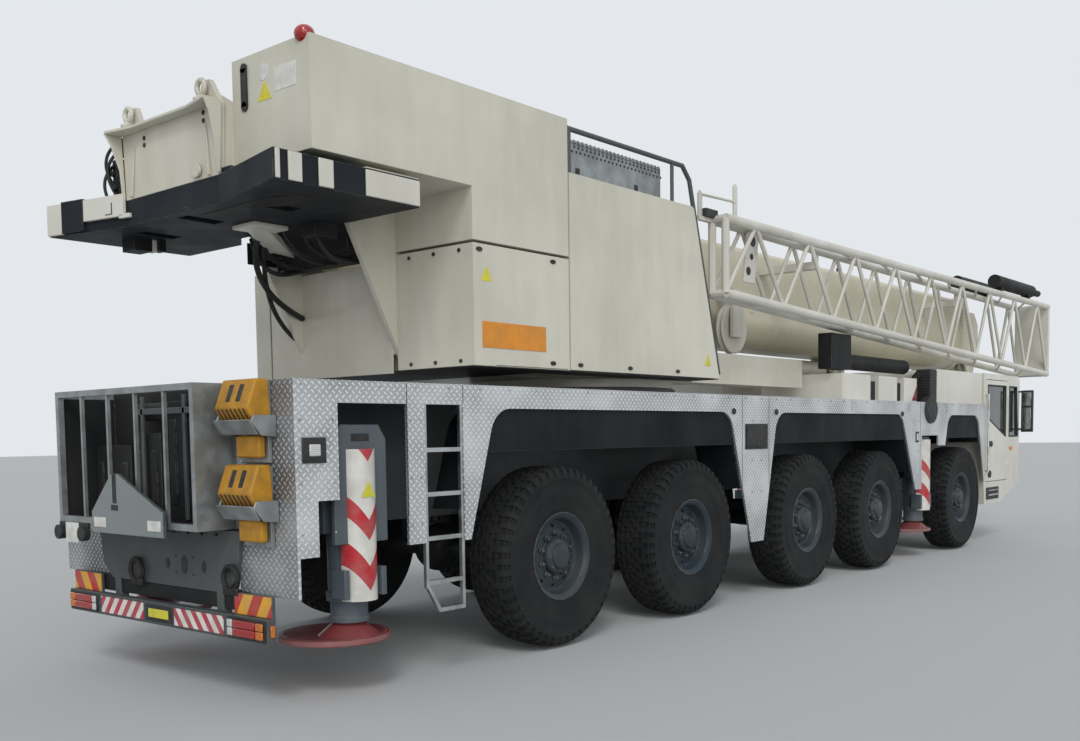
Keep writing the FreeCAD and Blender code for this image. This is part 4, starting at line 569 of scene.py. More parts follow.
def bumper_dressing(side, sign):
    """Lamp clusters at the bumper's ends, striped film between them and striped boards above."""
    side_block(sign, FILM_SPAN, (0.19, 0.74), (0.418, 0.53))
    piece("bumper_film_" + side, "carrier", BUMPER_FILM[side])
    side_block(sign, (-2.535, -2.5305), (0.81, 1.18), (0.552, 0.676))
    piece("board_film_" + side, "carrier", BOARD_FILM[side])
    side_block(sign, (-2.58, -2.568), (0.79, 1.175), (0.412, 0.538))
    piece("lamp_frame_" + side, "carrier", BLACK, bevel=0.004)
    for name, span, finish in (("tail", (0.86, 1.08), RED_LENS), ("reverse", (0.80, 0.85), CLEAR_LENS),
                               ("indicator", (1.09, 1.16), AMBER_LENS)):
        for level in range(2):
            side_block(sign, (-2.592, -2.579), span, (0.425 + 0.052 * level, 0.473 + 0.052 * level))
        piece("%s_lamp_%s" % (name, side), "carrier", finish, bevel=0.006)
    side_block(sign, (-2.55, -2.52), (1.184, 1.196), (0.44, 0.51))
    piece("side_marker_" + side, "carrier", AMBER_LENS, bevel=0.003)


both(bumper_dressing)

# Towing loops and what the end plate shows: a round hole with slots beside it, and bolts
for y, z in ((-0.776, 0.76), (0.324, 0.74)):
    ring((END_PLATE - 0.025, y, z), 0.075, 0.017, "x")
    block((END_PLATE - 0.035, y - 0.075, z - 0.1), (END_PLATE - 0.005, y + 0.075, z - 0.06))
piece("tow_loops", "carrier", SOOT, bevel=0.003)
for y, half_width, half_height in ((-0.229, 0.034, 0.06), (-0.032, 0.02, 0.034), (-0.451, 0.022, 0.036)):
    stretch(drum("x", (END_PLATE - 0.002, 0, 0), 1.0, 0.004, 28), (1, half_width, half_height), (0, y, 0.807))
for y, z in ((-0.33, 0.86), (-0.13, 0.86), (-0.33, 0.75), (-0.13, 0.75)):
    drum("x", (END_PLATE - 0.001, y, z), 0.008, 0.004, 10)
piece("end_plate_holes", "carrier", BLACK)
for i in range(8):
    drum("x", (END_PLATE - 0.004, -0.6 + i * 0.16, 1.02), 0.011, 0.012, 6)
piece("end_plate_bolts", "carrier", DARK_STEEL)

block((-2.50, -0.9, 0.56), (-2.44, 0.9, 0.68))
piece("tail_cross_member", "carrier", SOOT, bevel=0.006)
block((FILM_SPAN[0], -0.16, 0.42), (FILM_SPAN[1], 0.16, 0.528))
piece("bumper_centre_panel", "carrier", BLACK, bevel=0.002)
block((-2.577, -0.12, 0.445), (-2.5735, 0.12, 0.503))
piece("bumper_centre_plate", "carrier", SIGN_YELLOW, bevel=0.002)

# Lighter face of the hitch plate, round its slot
plate("x", HITCH_FACE, [(-0.466, 1.013), (-0.466, 1.167), (0.058, 1.397), (0.072, 1.397), (0.072, 1.21), (0.128, 1.21),
                        (0.128, 1.397), (0.138, 1.397), (0.397, 1.149), (0.397, 1.013)], -0.004)
piece("hitch_face", "carrier", HITCH_GREY, bevel=0.001)
block((-2.792, 0.072, 1.21), (-2.7902, 0.128, 1.398))
block((-2.797, 0.06, 1.165), (-2.7945, 0.14, 1.20))
piece("hitch_slot_shadow", "carrier", BLACK)
for y in (-0.37, 0.29):
    block((-2.799, y - 0.075, 1.05), (-2.7945, y + 0.075, 1.115))
piece("hitch_reflectors", "carrier", WHITE, bevel=0.002)

# Load rack: dark lining, cases and bars inside it, blank plate and lamps under its left corner
block((-2.33, -0.752, 1.08), (-2.317, 0.912, 1.942))
block((-2.705, 0.904, 1.08), (-2.33, 0.912, 1.905))
block((-2.705, -0.752, 1.078), (-2.33, 0.904, 1.084))
for y0, y1, z1 in ((-0.70, -0.44, 1.74), (-0.40, -0.08, 1.86), (0.02, 0.34, 1.66), (0.4, 0.86, 1.58)):
    block((-2.50, y0, 1.085), (-2.345, y1, z1))
    block((-2.512, y0 + 0.05, 1.2), (-2.498, y0 + 0.11, z1 - 0.12))
    block((-2.512, y1 - 0.09, 1.2), (-2.498, y1 - 0.03, z1 - 0.12))
drum("y", (-2.44, 0.1, 1.80), 0.06, 0.5, 20)
piece("rack_contents", "carrier", SOOT, bevel=0.008)
for y in (-0.32, 0.18):
    block((-2.53, y, 1.1), (-2.51, y + 0.03, 1.9))
block((-2.53, -0.6, 1.78), (-2.51, 0.3, 1.82))
piece("rack_inner_bars", "carrier", FRAME_GREY, bevel=0.003)
block((-2.768, 0.65, 0.925), (-2.758, 0.82, 1.06))
piece("blank_rear_plate", "carrier", WHITE, bevel=0.002)
for y in (0.575, 0.895):
    drum("x", (-2.765, y, 0.99), 0.05, 0.05, 24)
block((-2.757, 0.54, 0.97), (-2.735, 0.93, 1.062))
piece("plate_lamps", "carrier", BLACK, bevel=0.004)


# Skirts and deck

def skirt_dressing(side, sign):
    """Hatches, lamps, the air filter's end, seams and bolts of one skirt."""
    side_block(sign, (-2.43, -2.26), (SKIRT_FACE, SKIRT_FACE + 0.012), (1.465, 1.615))
    side_block(sign, (2.67, 3.10), (SKIRT_FACE, SKIRT_FACE + 0.006), (1.45, 1.69))
    side_block(sign, (2.69, 3.08), (SKIRT_FACE, SKIRT_FACE + 0.012), (1.47, 1.67))
    side_block(sign, (2.86, 2.92), (SKIRT_FACE, SKIRT_FACE + 0.02), (1.475, 1.495))
    side_block(sign, (6.82, 6.91), (SKIRT_FACE, SKIRT_FACE + 0.008), (1.46, 1.59))
    for x in (2.459, 3.27, 6.39):
        drum("y", (x, sign * (SKIRT_FACE + 0.005), 1.805), 0.028, 0.02, 20)
    piece("skirt_hatches_" + side, "carrier", BLACK, bevel=0.004)
    side_block(sign, (-2.385, -2.305), (SKIRT_FACE, SKIRT_FACE + 0.02), (1.505, 1.575))
    side_block(sign, (6.84, 6.89), (SKIRT_FACE, SKIRT_FACE + 0.012), (1.48, 1.57))
    piece("skirt_lamp_" + side, "carrier", CLEAR_LENS, bevel=0.006)
    # Oval end of the air filter, let into the skirt
    for grow, out in ((1.0, 0.006), (0.78, 0.014)):
        stretch(drum("y", (0, sign * (SKIRT_FACE - 0.03 + out), 0), 1.0, 0.09, 44), (0.2 * grow, 1, 0.17 * grow),
                (7.3, 0, 1.86))
    piece("filter_end_" + side, "carrier", BLACK, bevel=0.006)
    # Joints between the plates and the bolts along their edges
    for x, low, high in ((-1.6, 1.1, 1.95), (-1.09, 1.83, 1.95), (2.62, 1.1, 1.95), (3.13, 1.1, 1.95),
                         (5.0, 1.83, 1.95), (6.6, 1.83, 1.95), (6.97, 1.1, 1.95), (7.86, 1.83, 1.95)):
        side_block(sign, (x - 0.0025, x + 0.0025), (SKIRT_FACE, SKIRT_FACE + 0.0012), (low, high))
    piece("skirt_seams_" + side, "carrier", SOOT)
    for i in range(40):
        drum("y", (-2.42 + i * 0.3, sign * (SKIRT_FACE + 0.003), 1.93), 0.008, 0.01, 8)
    for x in (-2.44, -2.2, -1.57, -1.49, 2.8, 2.98, 6.9):
        for z in (1.05, 1.35, 1.72):
            drum("y", (x, sign * (SKIRT_FACE + 0.003), z), 0.008, 0.01, 8)
    piece("skirt_bolts_" + side, "carrier", ZINC)


both(skirt_dressing)


# Stabilisers

def stabiliser_dressing(place, x, cover_top, shield_top):
    """Half-round cover, collars, slot in the shield, sleeve round the ram and the pad's rim, on both sides."""
    def build(side, sign):
        leg = "%s_%s" % (place, side)
        turns = [math.pi * k / 14 for k in range(15)]
        slab([(x + COVER_RADIUS * math.cos(a), sign * (COVER_Y + COVER_RADIUS * math.sin(a)), 0.6) for a in turns],
             (0, 0, cover_top - 0.6))
        piece("striped_cover_" + leg, "stabiliser_beam_" + leg, COVER_FILM[place], smooth=40)
        for z in (0.62, cover_top - 0.04):
            turned((x, sign * LEG_Y, z), [(0.128, -0.03), (0.142, -0.03), (0.142, 0.03), (0.128, 0.03)], 36, axis="z")
        side_block(sign, (x - 0.17, x - 0.13), (1.2, 1.33), (0.62, 0.8))
        side_block(sign, (x + 0.13, x + 0.17), (1.2, 1.33), (0.62, 0.8))
        piece("leg_collars_" + leg, "stabiliser_beam_" + leg, SHIELD_GREY, bevel=0.004)
        side_block(sign, (x - 0.07, x + 0.07), (1.3, 1.3045), (shield_top - 0.1, shield_top - 0.055))
        piece("shield_slot_" + leg, "stabiliser_beam_" + leg, BLACK, bevel=0.002)
        turned((x, sign * LEG_Y, 0), [(0.1, 0.592), (0.118, 0.592), (0.118, 0.5), (0.128, 0.495), (0.128, 0.46),
                                      (0.1, 0.46)], 40, axis="z")
        piece("ram_sleeve_" + leg, "stabiliser_leg_" + leg, SHIELD_GREY, smooth=30)
        turned((x, sign * 1.01, 0.345), [(0.326, -0.012), (0.356, -0.01), (0.356, 0.018), (0.33, 0.027),
                                         (0.322, 0.026)], 56, axis="z")
        piece("pad_rim_" + leg, "stabiliser_leg_" + leg, WORN_RED, bevel=0.003)
    both(build)


for stabiliser in STABILISERS:
    stabiliser_dressing(*stabiliser)

plate("y", -1.373, [(-1.985, 1.245), (-1.875, 1.245), (-1.93, 1.34)], 0.004)
piece("blank_leg_sign", "stabiliser_beam_rear_right", SIGN_YELLOW)


# Driving cab

def cab_dressing(side, sign):
    """What one side of the driving cab carries: seals, pane, handle, step, rail, mirror glass and lamps."""
    door, face = "cab_door_" + side, sign * (CAB_FACE - 0.004)
    bars(face, [(9.53, 1.77), (9.53, 2.23), (10.32, 2.23), (10.32, 1.50)], 0.012)
    piece("door_seal_" + side, door, BLACK)
    plate("y", sign * 1.324, [(9.532, 1.772), (9.532, 2.228), (10.318, 2.228), (10.318, 1.505)], sign * 0.006)
    piece("door_pane_" + side, door, GLASS)
    side_block(sign, (9.54, 9.72), (CAB_FACE, CAB_FACE + 0.014), (1.36, 1.44))
    side_block(sign, (9.56, 9.70), (CAB_FACE + 0.012, CAB_FACE + 0.03), (1.39, 1.41))
    piece("door_handle_" + side, door, BLACK, bevel=0.006)
    bars(face, [(10.47, 1.5), (10.47, 2.23), (10.82, 2.23), (10.88, 1.5)], 0.012)
    # Step pocket low on the side, and a filler cap ahead of it
    side_block(sign, (9.5, 10.02), (CAB_FACE, CAB_FACE + 0.01), (0.61, 0.78))
    drum("y", (9.62, sign * (CAB_FACE + 0.004), 0.97), 0.05, 0.03, 24)
    piece("cab_seals_" + side, "carrier", BLACK, bevel=0.003)
    side_block(sign, (9.56, 9.96), (CAB_FACE, CAB_FACE + 0.024), (0.66, 0.685))
    side_block(sign, (9.56, 9.96), (CAB_FACE, CAB_FACE + 0.024), (0.73, 0.745))
    rail = sign * (CAB_FACE + 0.045)
    strut((9.43, rail, 1.0), (9.43, rail, 2.1), 0.014, 10)
    for z in (1.02, 2.08):
        strut((9.43, sign * (CAB_FACE - 0.01), z), (9.43, rail, z), 0.012, 8)
    piece("cab_grab_rail_" + side, "carrier", ZINC, bevel=0.002)
    side_block(sign, (10.5, 10.62), (CAB_FACE, CAB_FACE + 0.016), (1.3, 1.35))
    piece("cab_side_lamp_" + side, "carrier", AMBER_LENS, bevel=0.004)
    # The mirrors look back along the crane
    side_block(sign, (10.868, 10.8745), (1.42, 1.54), (1.6, 1.92))
    side_block(sign, (10.868, 10.8745), (1.42, 1.54), (1.95, 2.15))
    piece("mirror_glass_" + side, "carrier", CHROME, bevel=0.002)
    side_block(sign, (11.0, 11.055), (0.72, 1.08), (0.93, 1.1))
    piece("headlamp_bezel_" + side, "carrier", BLACK, bevel=0.008)
    for y in (0.81, 0.99):
        drum("x", (11.055, sign * y, 1.015), 0.062, 0.02, 28)
    piece("headlamp_glass_" + side, "carrier", CLEAR_LENS, bevel=0.004)


both(cab_dressing)

for i in range(6):
    block((11.045, -0.62, 0.95 + i * 0.06), (11.07, 0.62, 0.975 + i * 0.06))
block((10.99, -0.66, 0.92), (11.05, 0.66, 1.29))
piece("front_grille", "carrier", BLACK, bevel=0.003)

for y, lean in ((-0.55, 0.4), (0.15, 0.4), (0.75, 0.3)):
    strut((11.06, y, 1.44), (11.03, y + lean, 1.78), 0.008, 8)
    strut((11.045, y + lean - 0.02, 1.62), (11.02, y + lean + 0.02, 1.98), 0.006, 8)
    drum("x", (11.06, y, 1.43), 0.02, 0.03, 12)
piece("wipers", "carrier", BLACK)

turned((10.6, 0.9, 2.385), [(0.0, 0.11), (0.04, 0.105), (0.055, 0.08), (0.058, 0.03), (0.0, 0.03)], 24, axis="z",
       closed=False)
piece("roof_beacon", "carrier", AMBER_LENS)
drum("z", (10.6, 0.9, 2.4), 0.07, 0.03, 24)
drum("z", (9.7, -0.6, 2.398), 0.22, 0.02, 32)
piece("roof_fittings", "carrier", BLACK, bevel=0.003)


# Seats: a crowned cushion and back on each, with sewn channels

def cushion(name, body, low, high, lean=0.0):
    """A stuffed pad between two corners: full in the middle, drawn in at its corners, with two channels sewn in."""
    block(low, high)
    bmesh.ops.subdivide_edges(bm, edges=bm.edges, cuts=9, use_grid_fill=True)
    middle, half = (Vector(low) + Vector(high)) / 2, (Vector(high) - Vector(low)) / 2
    for vert in bm.verts:
        part = Vector([(vert.co[i] - middle[i]) / half[i] for i in range(3)])
        full = Vector([math.sqrt(max(0.0, 1 - 0.3 * (part[(i + 1) % 3] ** 2 + part[(i + 2) % 3] ** 2)))
                       for i in range(3)])
        channel = 1 - 0.10 * math.exp(-((abs(part.y) - 0.4) / 0.06) ** 2)
        moved = Vector([middle[i] + part[i] * full[i] * half[i] * (channel if i != 1 else 1.0) for i in range(3)])
        vert.co = moved + Vector((lean * (moved.z - low[2]), 0, 0))
    item = piece(name, body, COVER, smooth=180)
    item.modifiers.new("soft", "SUBSURF").levels = 1
    item.modifiers["soft"].render_levels = 1
    return item


for side, sign in SIDES:
    near, far = sorted((sign * 0.37, sign * 0.87))
    cushion("cab_cushion_" + side, "carrier", (9.712, near, 1.27), (10.24, far, 1.425))
    cushion("cab_backrest_" + side, "carrier", (9.70, near + 0.01, 1.39), (9.86, far - 0.01, 2.075), lean=-0.19)
cushion("operator_cushion", "operator_cab", (2.245, 0.735, 2.49), (2.78, 1.205, 2.655))
cushion("operator_backrest", "operator_cab", (2.235, 0.745, 2.6), (2.40, 1.195, 3.3), lean=-0.19)


# Boxes on the deck: dark gear between the lockers, dark intake stack, red corner mark

for x0, x1 in ((5.768, 5.982), (6.538, 6.732), (7.158, 7.325)):
    for sign in (-1, 1):
        side_block(sign, (x0, x1), (0.98, 1.215), (1.96, 2.185))
        side_block(sign, (x0 + 0.06, x0 + 0.1), (1.2, 1.235), (1.97, 2.17))
hose((7.24, -1.16, 2.19), (7.3, -1.2, 2.33), (7.43, -1.2, 2.33), 0.045)
piece("locker_gap_gear", "carrier", SOOT, bevel=0.004)

block((7.333, -1.352, 1.958), (7.557, -1.173, 2.372))
for i in range(11):
    z = 2.0 + i * 0.033
    block((7.328, -1.357, z), (7.562, -1.168, z + 0.016))
piece("intake_stack_sleeve", "carrier", BLACK, bevel=0.003)

for side, sign in SIDES:
    y = sign * 1.2565
    plate("y", y, [(6.99, 1.975), (7.14, 1.975), (7.14, 2.15)], sign * 0.002)
    piece("locker_corner_mark_" + side, "carrier", PAD_RED)


# Superstructure

RAIL_Y = -1.295
CORRUGATION = 0.0524

block((-2.272, -0.72, 3.66), (-2.259, -0.66, 3.89))
for z in (3.66, 3.89):
    drum("x", (-2.2655, -0.69, z), 0.03, 0.013, 24)
# Catches: on the low housing's corners, along the panel's foot and on the rear edge
for x, z in ((-0.07, 2.885), (-0.08, 2.14), (0.25, 2.14), (0.9, 2.14), (1.6, 2.14), (-0.86, 2.885)):
    stretch(drum("y", (0, -HOUSING_FACE - 0.003, 0), 0.02, 0.01, 18), (1.5, 1, 0.8), (x, 0, z))
for y in (-1.2, -0.95, -0.7):
    for z in (2.13, 2.885):
        drum("x", (-0.923, y, z), 0.014, 0.01, 14)
block((-0.7, -1.3325, 2.1), (0.1, -1.329, 2.104))
piece("housing_catches", "superstructure", BLACK, bevel=0.003)

# Blank plates where the crane carries its signs
block((-0.84, -1.3345, 2.22), (-0.16, -1.3295, 2.4))
piece("blank_orange_sign", "superstructure", SIGN_ORANGE, bevel=0.002)
for x, z in ((-0.79, 2.72), (2.09, 2.25)):
    plate("y", -1.3325, [(x - 0.055, z - 0.045), (x + 0.055, z - 0.045), (x, z + 0.06)], 0.003)
plate("x", -2.2625, [(-0.82, 3.66), (-0.96, 3.66), (-0.89, 3.775)], 0.003)
piece("blank_yellow_signs", "superstructure", SIGN_YELLOW, bevel=0.001)
block((-2.2625, -1.2, 3.69), (-2.2595, -0.99, 3.83))
drum("x", (-2.261, -0.88, 3.83), 0.05, 0.004, 24)
piece("blank_white_signs", "superstructure", WHITE, bevel=0.001)

stretch(bmesh.ops.create_uvsphere(bm, u_segments=28, v_segments=16, radius=0.062)["verts"], (1, 1, 0.85),
        (-2.235, -1.255, 3.97))
piece("rear_marker_lamp", "superstructure", RED_LENS)

block((0.165, -1.215, 3.572), (1.525, -0.705, 3.85))
for k in range(26):
    drum("y", (0.19 + k * CORRUGATION, -0.96, 3.848), 0.024, 0.51, 12)
piece("cooler_sheet", "superstructure", GALVANISED, bevel=0.003)
for k in range(26):
    for row in range(2):
        drum("y", (0.19 + (k + row / 2) * CORRUGATION, -1.2155, 3.815 - row * 0.035), 0.01, 0.004, 10)
for x in (0.36, 1.14):
    block((x, -1.2175, 3.6), (x + 0.05, -1.2145, 3.66))
piece("cooler_holes", "superstructure", BLACK)
# Dark sheets under the housings: painted shade in the gap above the deck
block((-0.915, -1.325, 2.0895), (0.115, 0.9, 2.0945))
block((0.14, -1.325, 2.0895), (2.28, -0.99, 2.0945))
piece("housing_underside_painted_shade", "superstructure", SOOT)
rail = [(0.16, 3.572), (0.16, 3.905), (1.74, 3.905), (1.85, 3.8), (2.33, 2.14)]
bars(RAIL_Y, rail, 0.02, 14, closed=False)
for x, z in rail[1:-1]:
    bend = bmesh.ops.create_uvsphere(bm, u_segments=14, v_segments=8, radius=0.02)["verts"]
    bmesh.ops.translate(bm, vec=(x, RAIL_Y, z), verts=bend)
for x in (0.18, 1.58):
    strut((x, RAIL_Y, 3.572), (x, RAIL_Y, 3.905), 0.016, 10)
for z, x in ((3.2, 2.0), (2.6, 2.17), (2.2, 2.29)):
    strut((x - 0.08, RAIL_Y, z), (x + 0.03, RAIL_Y, z), 0.012, 8)
piece("hand_rail", "superstructure", FRAME_GREY, replaces=["cooler_and_rail"])


# Ballast: tabs and plates on its edge, pockets and slots below it

def along_rear_edge(y, out, z):
    """A point on the slanting left rear edge of the ballast, moved outward."""
    return (-2.37 - (y - 0.54) * 0.205 - out, y, z)


def edge_plate(y0, y1, z0, z1, thick):
    """A plate on that edge, between two distances to the left and two heights."""
    slab([along_rear_edge(y0, 0.001, z0), along_rear_edge(y1, 0.001, z0), along_rear_edge(y1, thick, z0),
          along_rear_edge(y0, thick, z0)], (0, 0, z1 - z0))


for x0, x1 in ((-2.53, -2.50), (-2.44, -2.345), (-2.222, -2.115), (-1.862, -1.415)):
    for y in (-1.345, 1.331):
        block((x0, y, 3.085), (x1, y + 0.014, 3.25 if x0 < -2 else 3.245))
for sign in (-1, 1):
    side_block(sign, (-1.86, -1.418), (1.0, 1.34), (3.2545, 3.262))
edge_plate(0.56, 0.95, 3.15, 3.30, 0.03)
edge_plate(1.18, 1.325, 3.085, 3.3, 0.03)
edge_plate(0.5, 0.6, 3.135, 3.165, 0.03)
block((-2.0, 0.88, 2.99), (-1.96, 0.95, 3.08))
piece("ballast_tabs", "superstructure", PALE, bevel=0.005)
for y0, z0, y1, z1 in ((0.66, 3.17, 0.665, 3.25), (0.66, 3.17, 0.725, 3.175)):
    edge_plate(y0, y1, z0, z1, 0.034)
edge_plate(0.96, 1.175, 3.09, 3.31, 0.028)
plate("z", 3.255, [(-2.36, -0.66), (-1.5, -0.66), (-1.5, 0.66), (-2.36, 0.66)], 0.04)
for sign in (-1, 1):
    side_block(sign, (-2.1, -1.55), (0.8, 1.1), (3.255, 3.285))
piece("ballast_top_blocks", "superstructure", BALLAST, bevel=0.012)

plate("z", BALLAST_FOOT, [(-2.24, -0.13), (-2.16, -0.2), (-2.15, -0.62), (-2.05, -0.75), (-2.05, -1.08), (-2.17, -1.1),
                          (-2.24, -0.95), (-2.26, -0.62)], -0.002)
for x, y in ((-2.43, -0.26), (-2.38, -0.452), (-2.315, 0.653)):
    stretch(drum("z", (0, 0, 3.0785), 0.03, 0.002), (0.8, 1.4, 1), (x, y, 0))
block((-2.14, 0.88, 2.99), (-2.0, 1.05, 3.08))
block((-1.96, 0.86, 3.0), (-1.9, 0.95, 3.08))
piece("ballast_pocket_shadows", "superstructure", SOOT)

# Between ballast and tower: one box strut, the cream rear sheet, dark gear and hoses
start, end = Vector((-1.80, -0.11, 3.05)), Vector((-1.08, 0.46, 2.955))
sideways = (end - start).cross(Vector((0, 0, 1))).normalized() * 0.075
slab([start - sideways, start + sideways, end + sideways, end - sideways], (0, 0, 0.05))
block((-1.9, -0.24, 3.05), (-1.62, 0.02, BALLAST_FOOT))
piece("ballast_strut", "superstructure", PALE, bevel=0.006)
block((-0.934, -0.515, 2.075), (-0.9205, 0.93, 2.885))
block((-0.934, 0.95, 2.075), (-0.9205, 1.14, 2.95))
piece("rear_wall_sheets", "superstructure", CREAM, bevel=0.002)
block((-1.12, -0.5, 2.885), (-1.0, 0.5, 2.915))
block((-1.17, -0.51, 2.89), (-1.16, 0.51, 3.25))
block((-1.44, 0.504, 2.92), (-1.172, 0.513, 3.079))
block((-1.3, -0.48, 2.93), (-1.14, -0.3, 3.075))
block((-1.36, 0.3, 2.96), (-1.16, 0.48, 3.075))
block((-1.6, -0.5, 2.99), (-1.4, -0.36, 3.079))
piece("ballast_gear", "superstructure", SOOT, bevel=0.01)
for y, low, across in ((-0.46, 2.84, 0.2), (-0.4, 2.72, -0.1), (-0.3, 2.9, 0.15), (-0.02, 2.8, -0.22), (0.2, 2.86, 0.1),
                       (0.34, 2.7, -0.12)):
    hose((-1.52, y, 3.075), (-1.48 + 0.3 * across, y + across, low), (-1.08, y + 0.4 * across, 2.9), 0.017)
hose((-1.62, 0.1, 3.075), (-1.64, 0.3, 2.72), (-0.95, 0.5, 2.55), 0.022)
hose((-1.5, 0.2, 3.075), (-1.42, 0.42, 2.6), (-0.94, 0.62, 2.4), 0.018)
piece("ballast_hoses", "superstructure", HOSE, smooth=60)

# Drum ropes
for k in range(38):
    turned((-1.88, -0.41 + k * 0.0222, 3.56), [(0.172, -0.01), (0.19, -0.004), (0.19, 0.004), (0.172, 0.01)], 36)
piece("hoist_rope_windings", "winch", ROPE, smooth=60)

# Lug plate: flanged top, flanks, eyes, holes, and the valve block with its hoses at the left end
plate("z", 3.685, [(LUG_FACE, -0.33), (-2.45, -0.33), (-2.45, 0.33), (LUG_FACE, 0.33)], 0.02)
for sign in (-1, 1):
    slab([(LUG_FACE, sign * 0.56, 3.262), (-2.395, sign * 0.56, 3.262), (-2.41, sign * 0.56, 3.45),
          (-2.46, sign * 0.58, 3.62), (-2.5, sign * 0.59, 3.69), (LUG_FACE, sign * 0.59, 3.69)], (0, sign * 0.014, 0))
    slab([(LUG_FACE, sign * 0.47, 3.262), (-2.40, sign * 0.47, 3.262), (LUG_FACE, sign * 0.43, 3.60)],
         (0, sign * -0.012, 0))
    plate("z", 3.685, [(LUG_FACE, sign * 0.59), (-2.5, sign * 0.59), (-2.45, sign * 0.33), (LUG_FACE, sign * 0.33)],
          0.02)
    ring((-2.405, sign * 0.435, 3.80), 0.042, 0.018, "x", 32, 8)
    strut((-2.38, sign * 0.435, 3.76), (-2.45, sign * 0.435, 3.71), 0.02, 10)
drum("x", (-2.39, -0.33, 3.31), 0.045, 0.02, 24)
piece("lug_plate_flanges", "superstructure", CREAM, bevel=0.004)
for y, z in ((-0.40, 3.66), (-0.40, 3.61), (0.303, 3.63), (0.303, 3.584)):
    drum("x", (LUG_FACE, y, z), 0.015, 0.006, 16)
piece("lug_plate_holes", "superstructure", BLACK)
block((-2.36, 0.66, 3.3), (-2.26, 0.75, 3.56))
block((-2.35, 0.64, 3.58), (-2.28, 0.71, 3.70))
drum("x", (-2.37, 0.71, 3.46), 0.022, 0.05, 14)
drum("x", (-2.37, 0.68, 3.36), 0.02, 0.05, 14)
piece("valve_block", "superstructure", SOOT, bevel=0.004)
for y, z in ((0.70, 3.66), (0.68, 3.6), (0.73, 3.52)):
    hose((-2.36, y, z), (-2.46, y + 0.08, z - 0.12), (-2.36, y + 0.01, z - 0.3), 0.011)
piece("valve_hoses", "superstructure", HOSE, smooth=60)


# Operator's cab

plate("y", 0.672, [(3.52, 2.68), (3.46, 3.49), (3.454, 3.49), (3.514, 2.68)], 0.596)
plate("y", 0.612, [(1.922, 2.762), (1.922, 3.528), (3.358, 3.528), (3.358, 2.762)], 0.006)
plate("y", 1.322, [(1.912, 2.762), (1.912, 3.528), (2.518, 3.528), (2.518, 2.762)], 0.006)
piece("operator_cab_glass", "operator_cab", GLASS)
plate("y", 1.352, [(2.652, 2.762), (2.652, 3.528), (3.278, 3.528), (3.278, 2.762)], 0.006)
piece("operator_door_glass", "operator_door", GLASS)
block((3.2, 1.37, 2.5), (3.3, 1.385, 2.62))
bars(1.37, [(2.65, 2.76), (2.65, 3.53), (3.28, 3.53), (3.28, 2.76)], 0.01)
piece("operator_door_fittings", "operator_door", BLACK, bevel=0.004)
for x in (2.0, 3.1):
    block((x, 0.7, 3.681), (x + 0.16, 0.86, 3.72))
strut((3.49, 0.75, 2.75), (3.46, 1.05, 3.2), 0.008, 8)
for x0 in (2.0, 2.6):
    block((x0 - 0.1, 1.339, 3.59), (x0 + 0.6, 1.345, 3.61))
piece("operator_cab_trim", "operator_cab", BLACK, bevel=0.004)


# Boom

for x in (0.2, 2.3, 4.4, 6.5, 8.6, 10.2):
    for sign in (-1, 1):
        block((x, sign * 0.452 - 0.004, 2.92), (x + 0.09, sign * 0.452 + 0.004, 3.5))
piece("boom_side_bands", "boom", BOOM_CREAM, bevel=0.002)
for y in (-0.07, 0.07):
    strut((-0.2, y, 3.69), (11.0, y, 3.69), 0.011, 10)
piece("hoist_ropes", "boom", ROPE)
for x in (0.4, 3.6, 7.2, 10.6):
    for sign in (-1, 1):
        block((x, sign * 0.16 - 0.012, 3.62), (x + 0.1, sign * 0.16 + 0.012, 3.74))
    drum("y", (x + 0.05, 0, 3.66), 0.03, 0.33, 20)
block((1.2, 0.28, 3.62), (10.9, 0.34, 3.655))
piece("rope_guides", "boom", DARK_STEEL, bevel=0.003)
for k in range(9):
    z = 2.98 + k * 0.06
    for sign in (-1, 1):
        drum("y", (10.96, sign * 0.478, z), 0.014, 0.012, 6)
        drum("y", (0.0, sign * 0.452, z), 0.014, 0.012, 6)
for sign in (-1, 1):
    for k in range(8):
        a = math.tau * k / 8
        drum("y", (-0.9 + 0.13 * math.cos(a), sign * 0.452, 3.15 + 0.13 * math.sin(a)), 0.014, 0.012, 6)
piece("boom_bolts", "boom", ZINC)

# Jib: head plate, guard posts and bar, drilled brackets, rope wheel
JIB_WHEEL = (3.72, -0.62, 2.69)
plate("x", 12.33, [(-1.36, 2.46), (-0.85, 2.46), (-0.85, 3.56), (-1.36, 3.56)], 0.03)
for x, low, high in ((2.19, 3.54, 3.79), (2.81, 3.56, 3.945)):
    plate("y", -1.2, [(x - 0.03, low), (x + 0.03, low), (x + 0.03, high - 0.03), (x, high), (x - 0.03, high - 0.03)],
          0.02)
strut((2.19, -1.19, 3.755), (2.81, -1.19, 3.775), 0.012, 10)
block((2.16, -1.21, 3.52), (2.5, -1.17, 3.56))
plate("y", -1.23, [(2.9, 3.04), (3.12, 3.04), (3.2, 3.5), (2.98, 3.52)], 0.02)
piece("jib_plates", "boom", JIB_CREAM, bevel=0.003)
for x, z, r in ((3.074, 3.437, 0.05), (2.99, 3.148, 0.04), (3.05, 3.29, 0.03)):
    drum("y", (x, -1.2315, z), r, 0.006, 24)
for z in (2.62, 2.86, 3.1, 3.34):
    drum("x", (12.3615, -1.1, z), 0.05, 0.004, 24)
block((2.22, -1.24, 3.56), (2.42, -1.16, 3.63))
piece("jib_plate_holes", "boom", BLACK)
turned(JIB_WHEEL, [(0.2, -0.03), (0.24, -0.04), (0.26, -0.03), (0.23, 0.0), (0.26, 0.03), (0.24, 0.04), (0.2, 0.03),
                   (0.06, 0.012), (0.05, 0.04), (0.0, 0.04)], 48, closed=False)
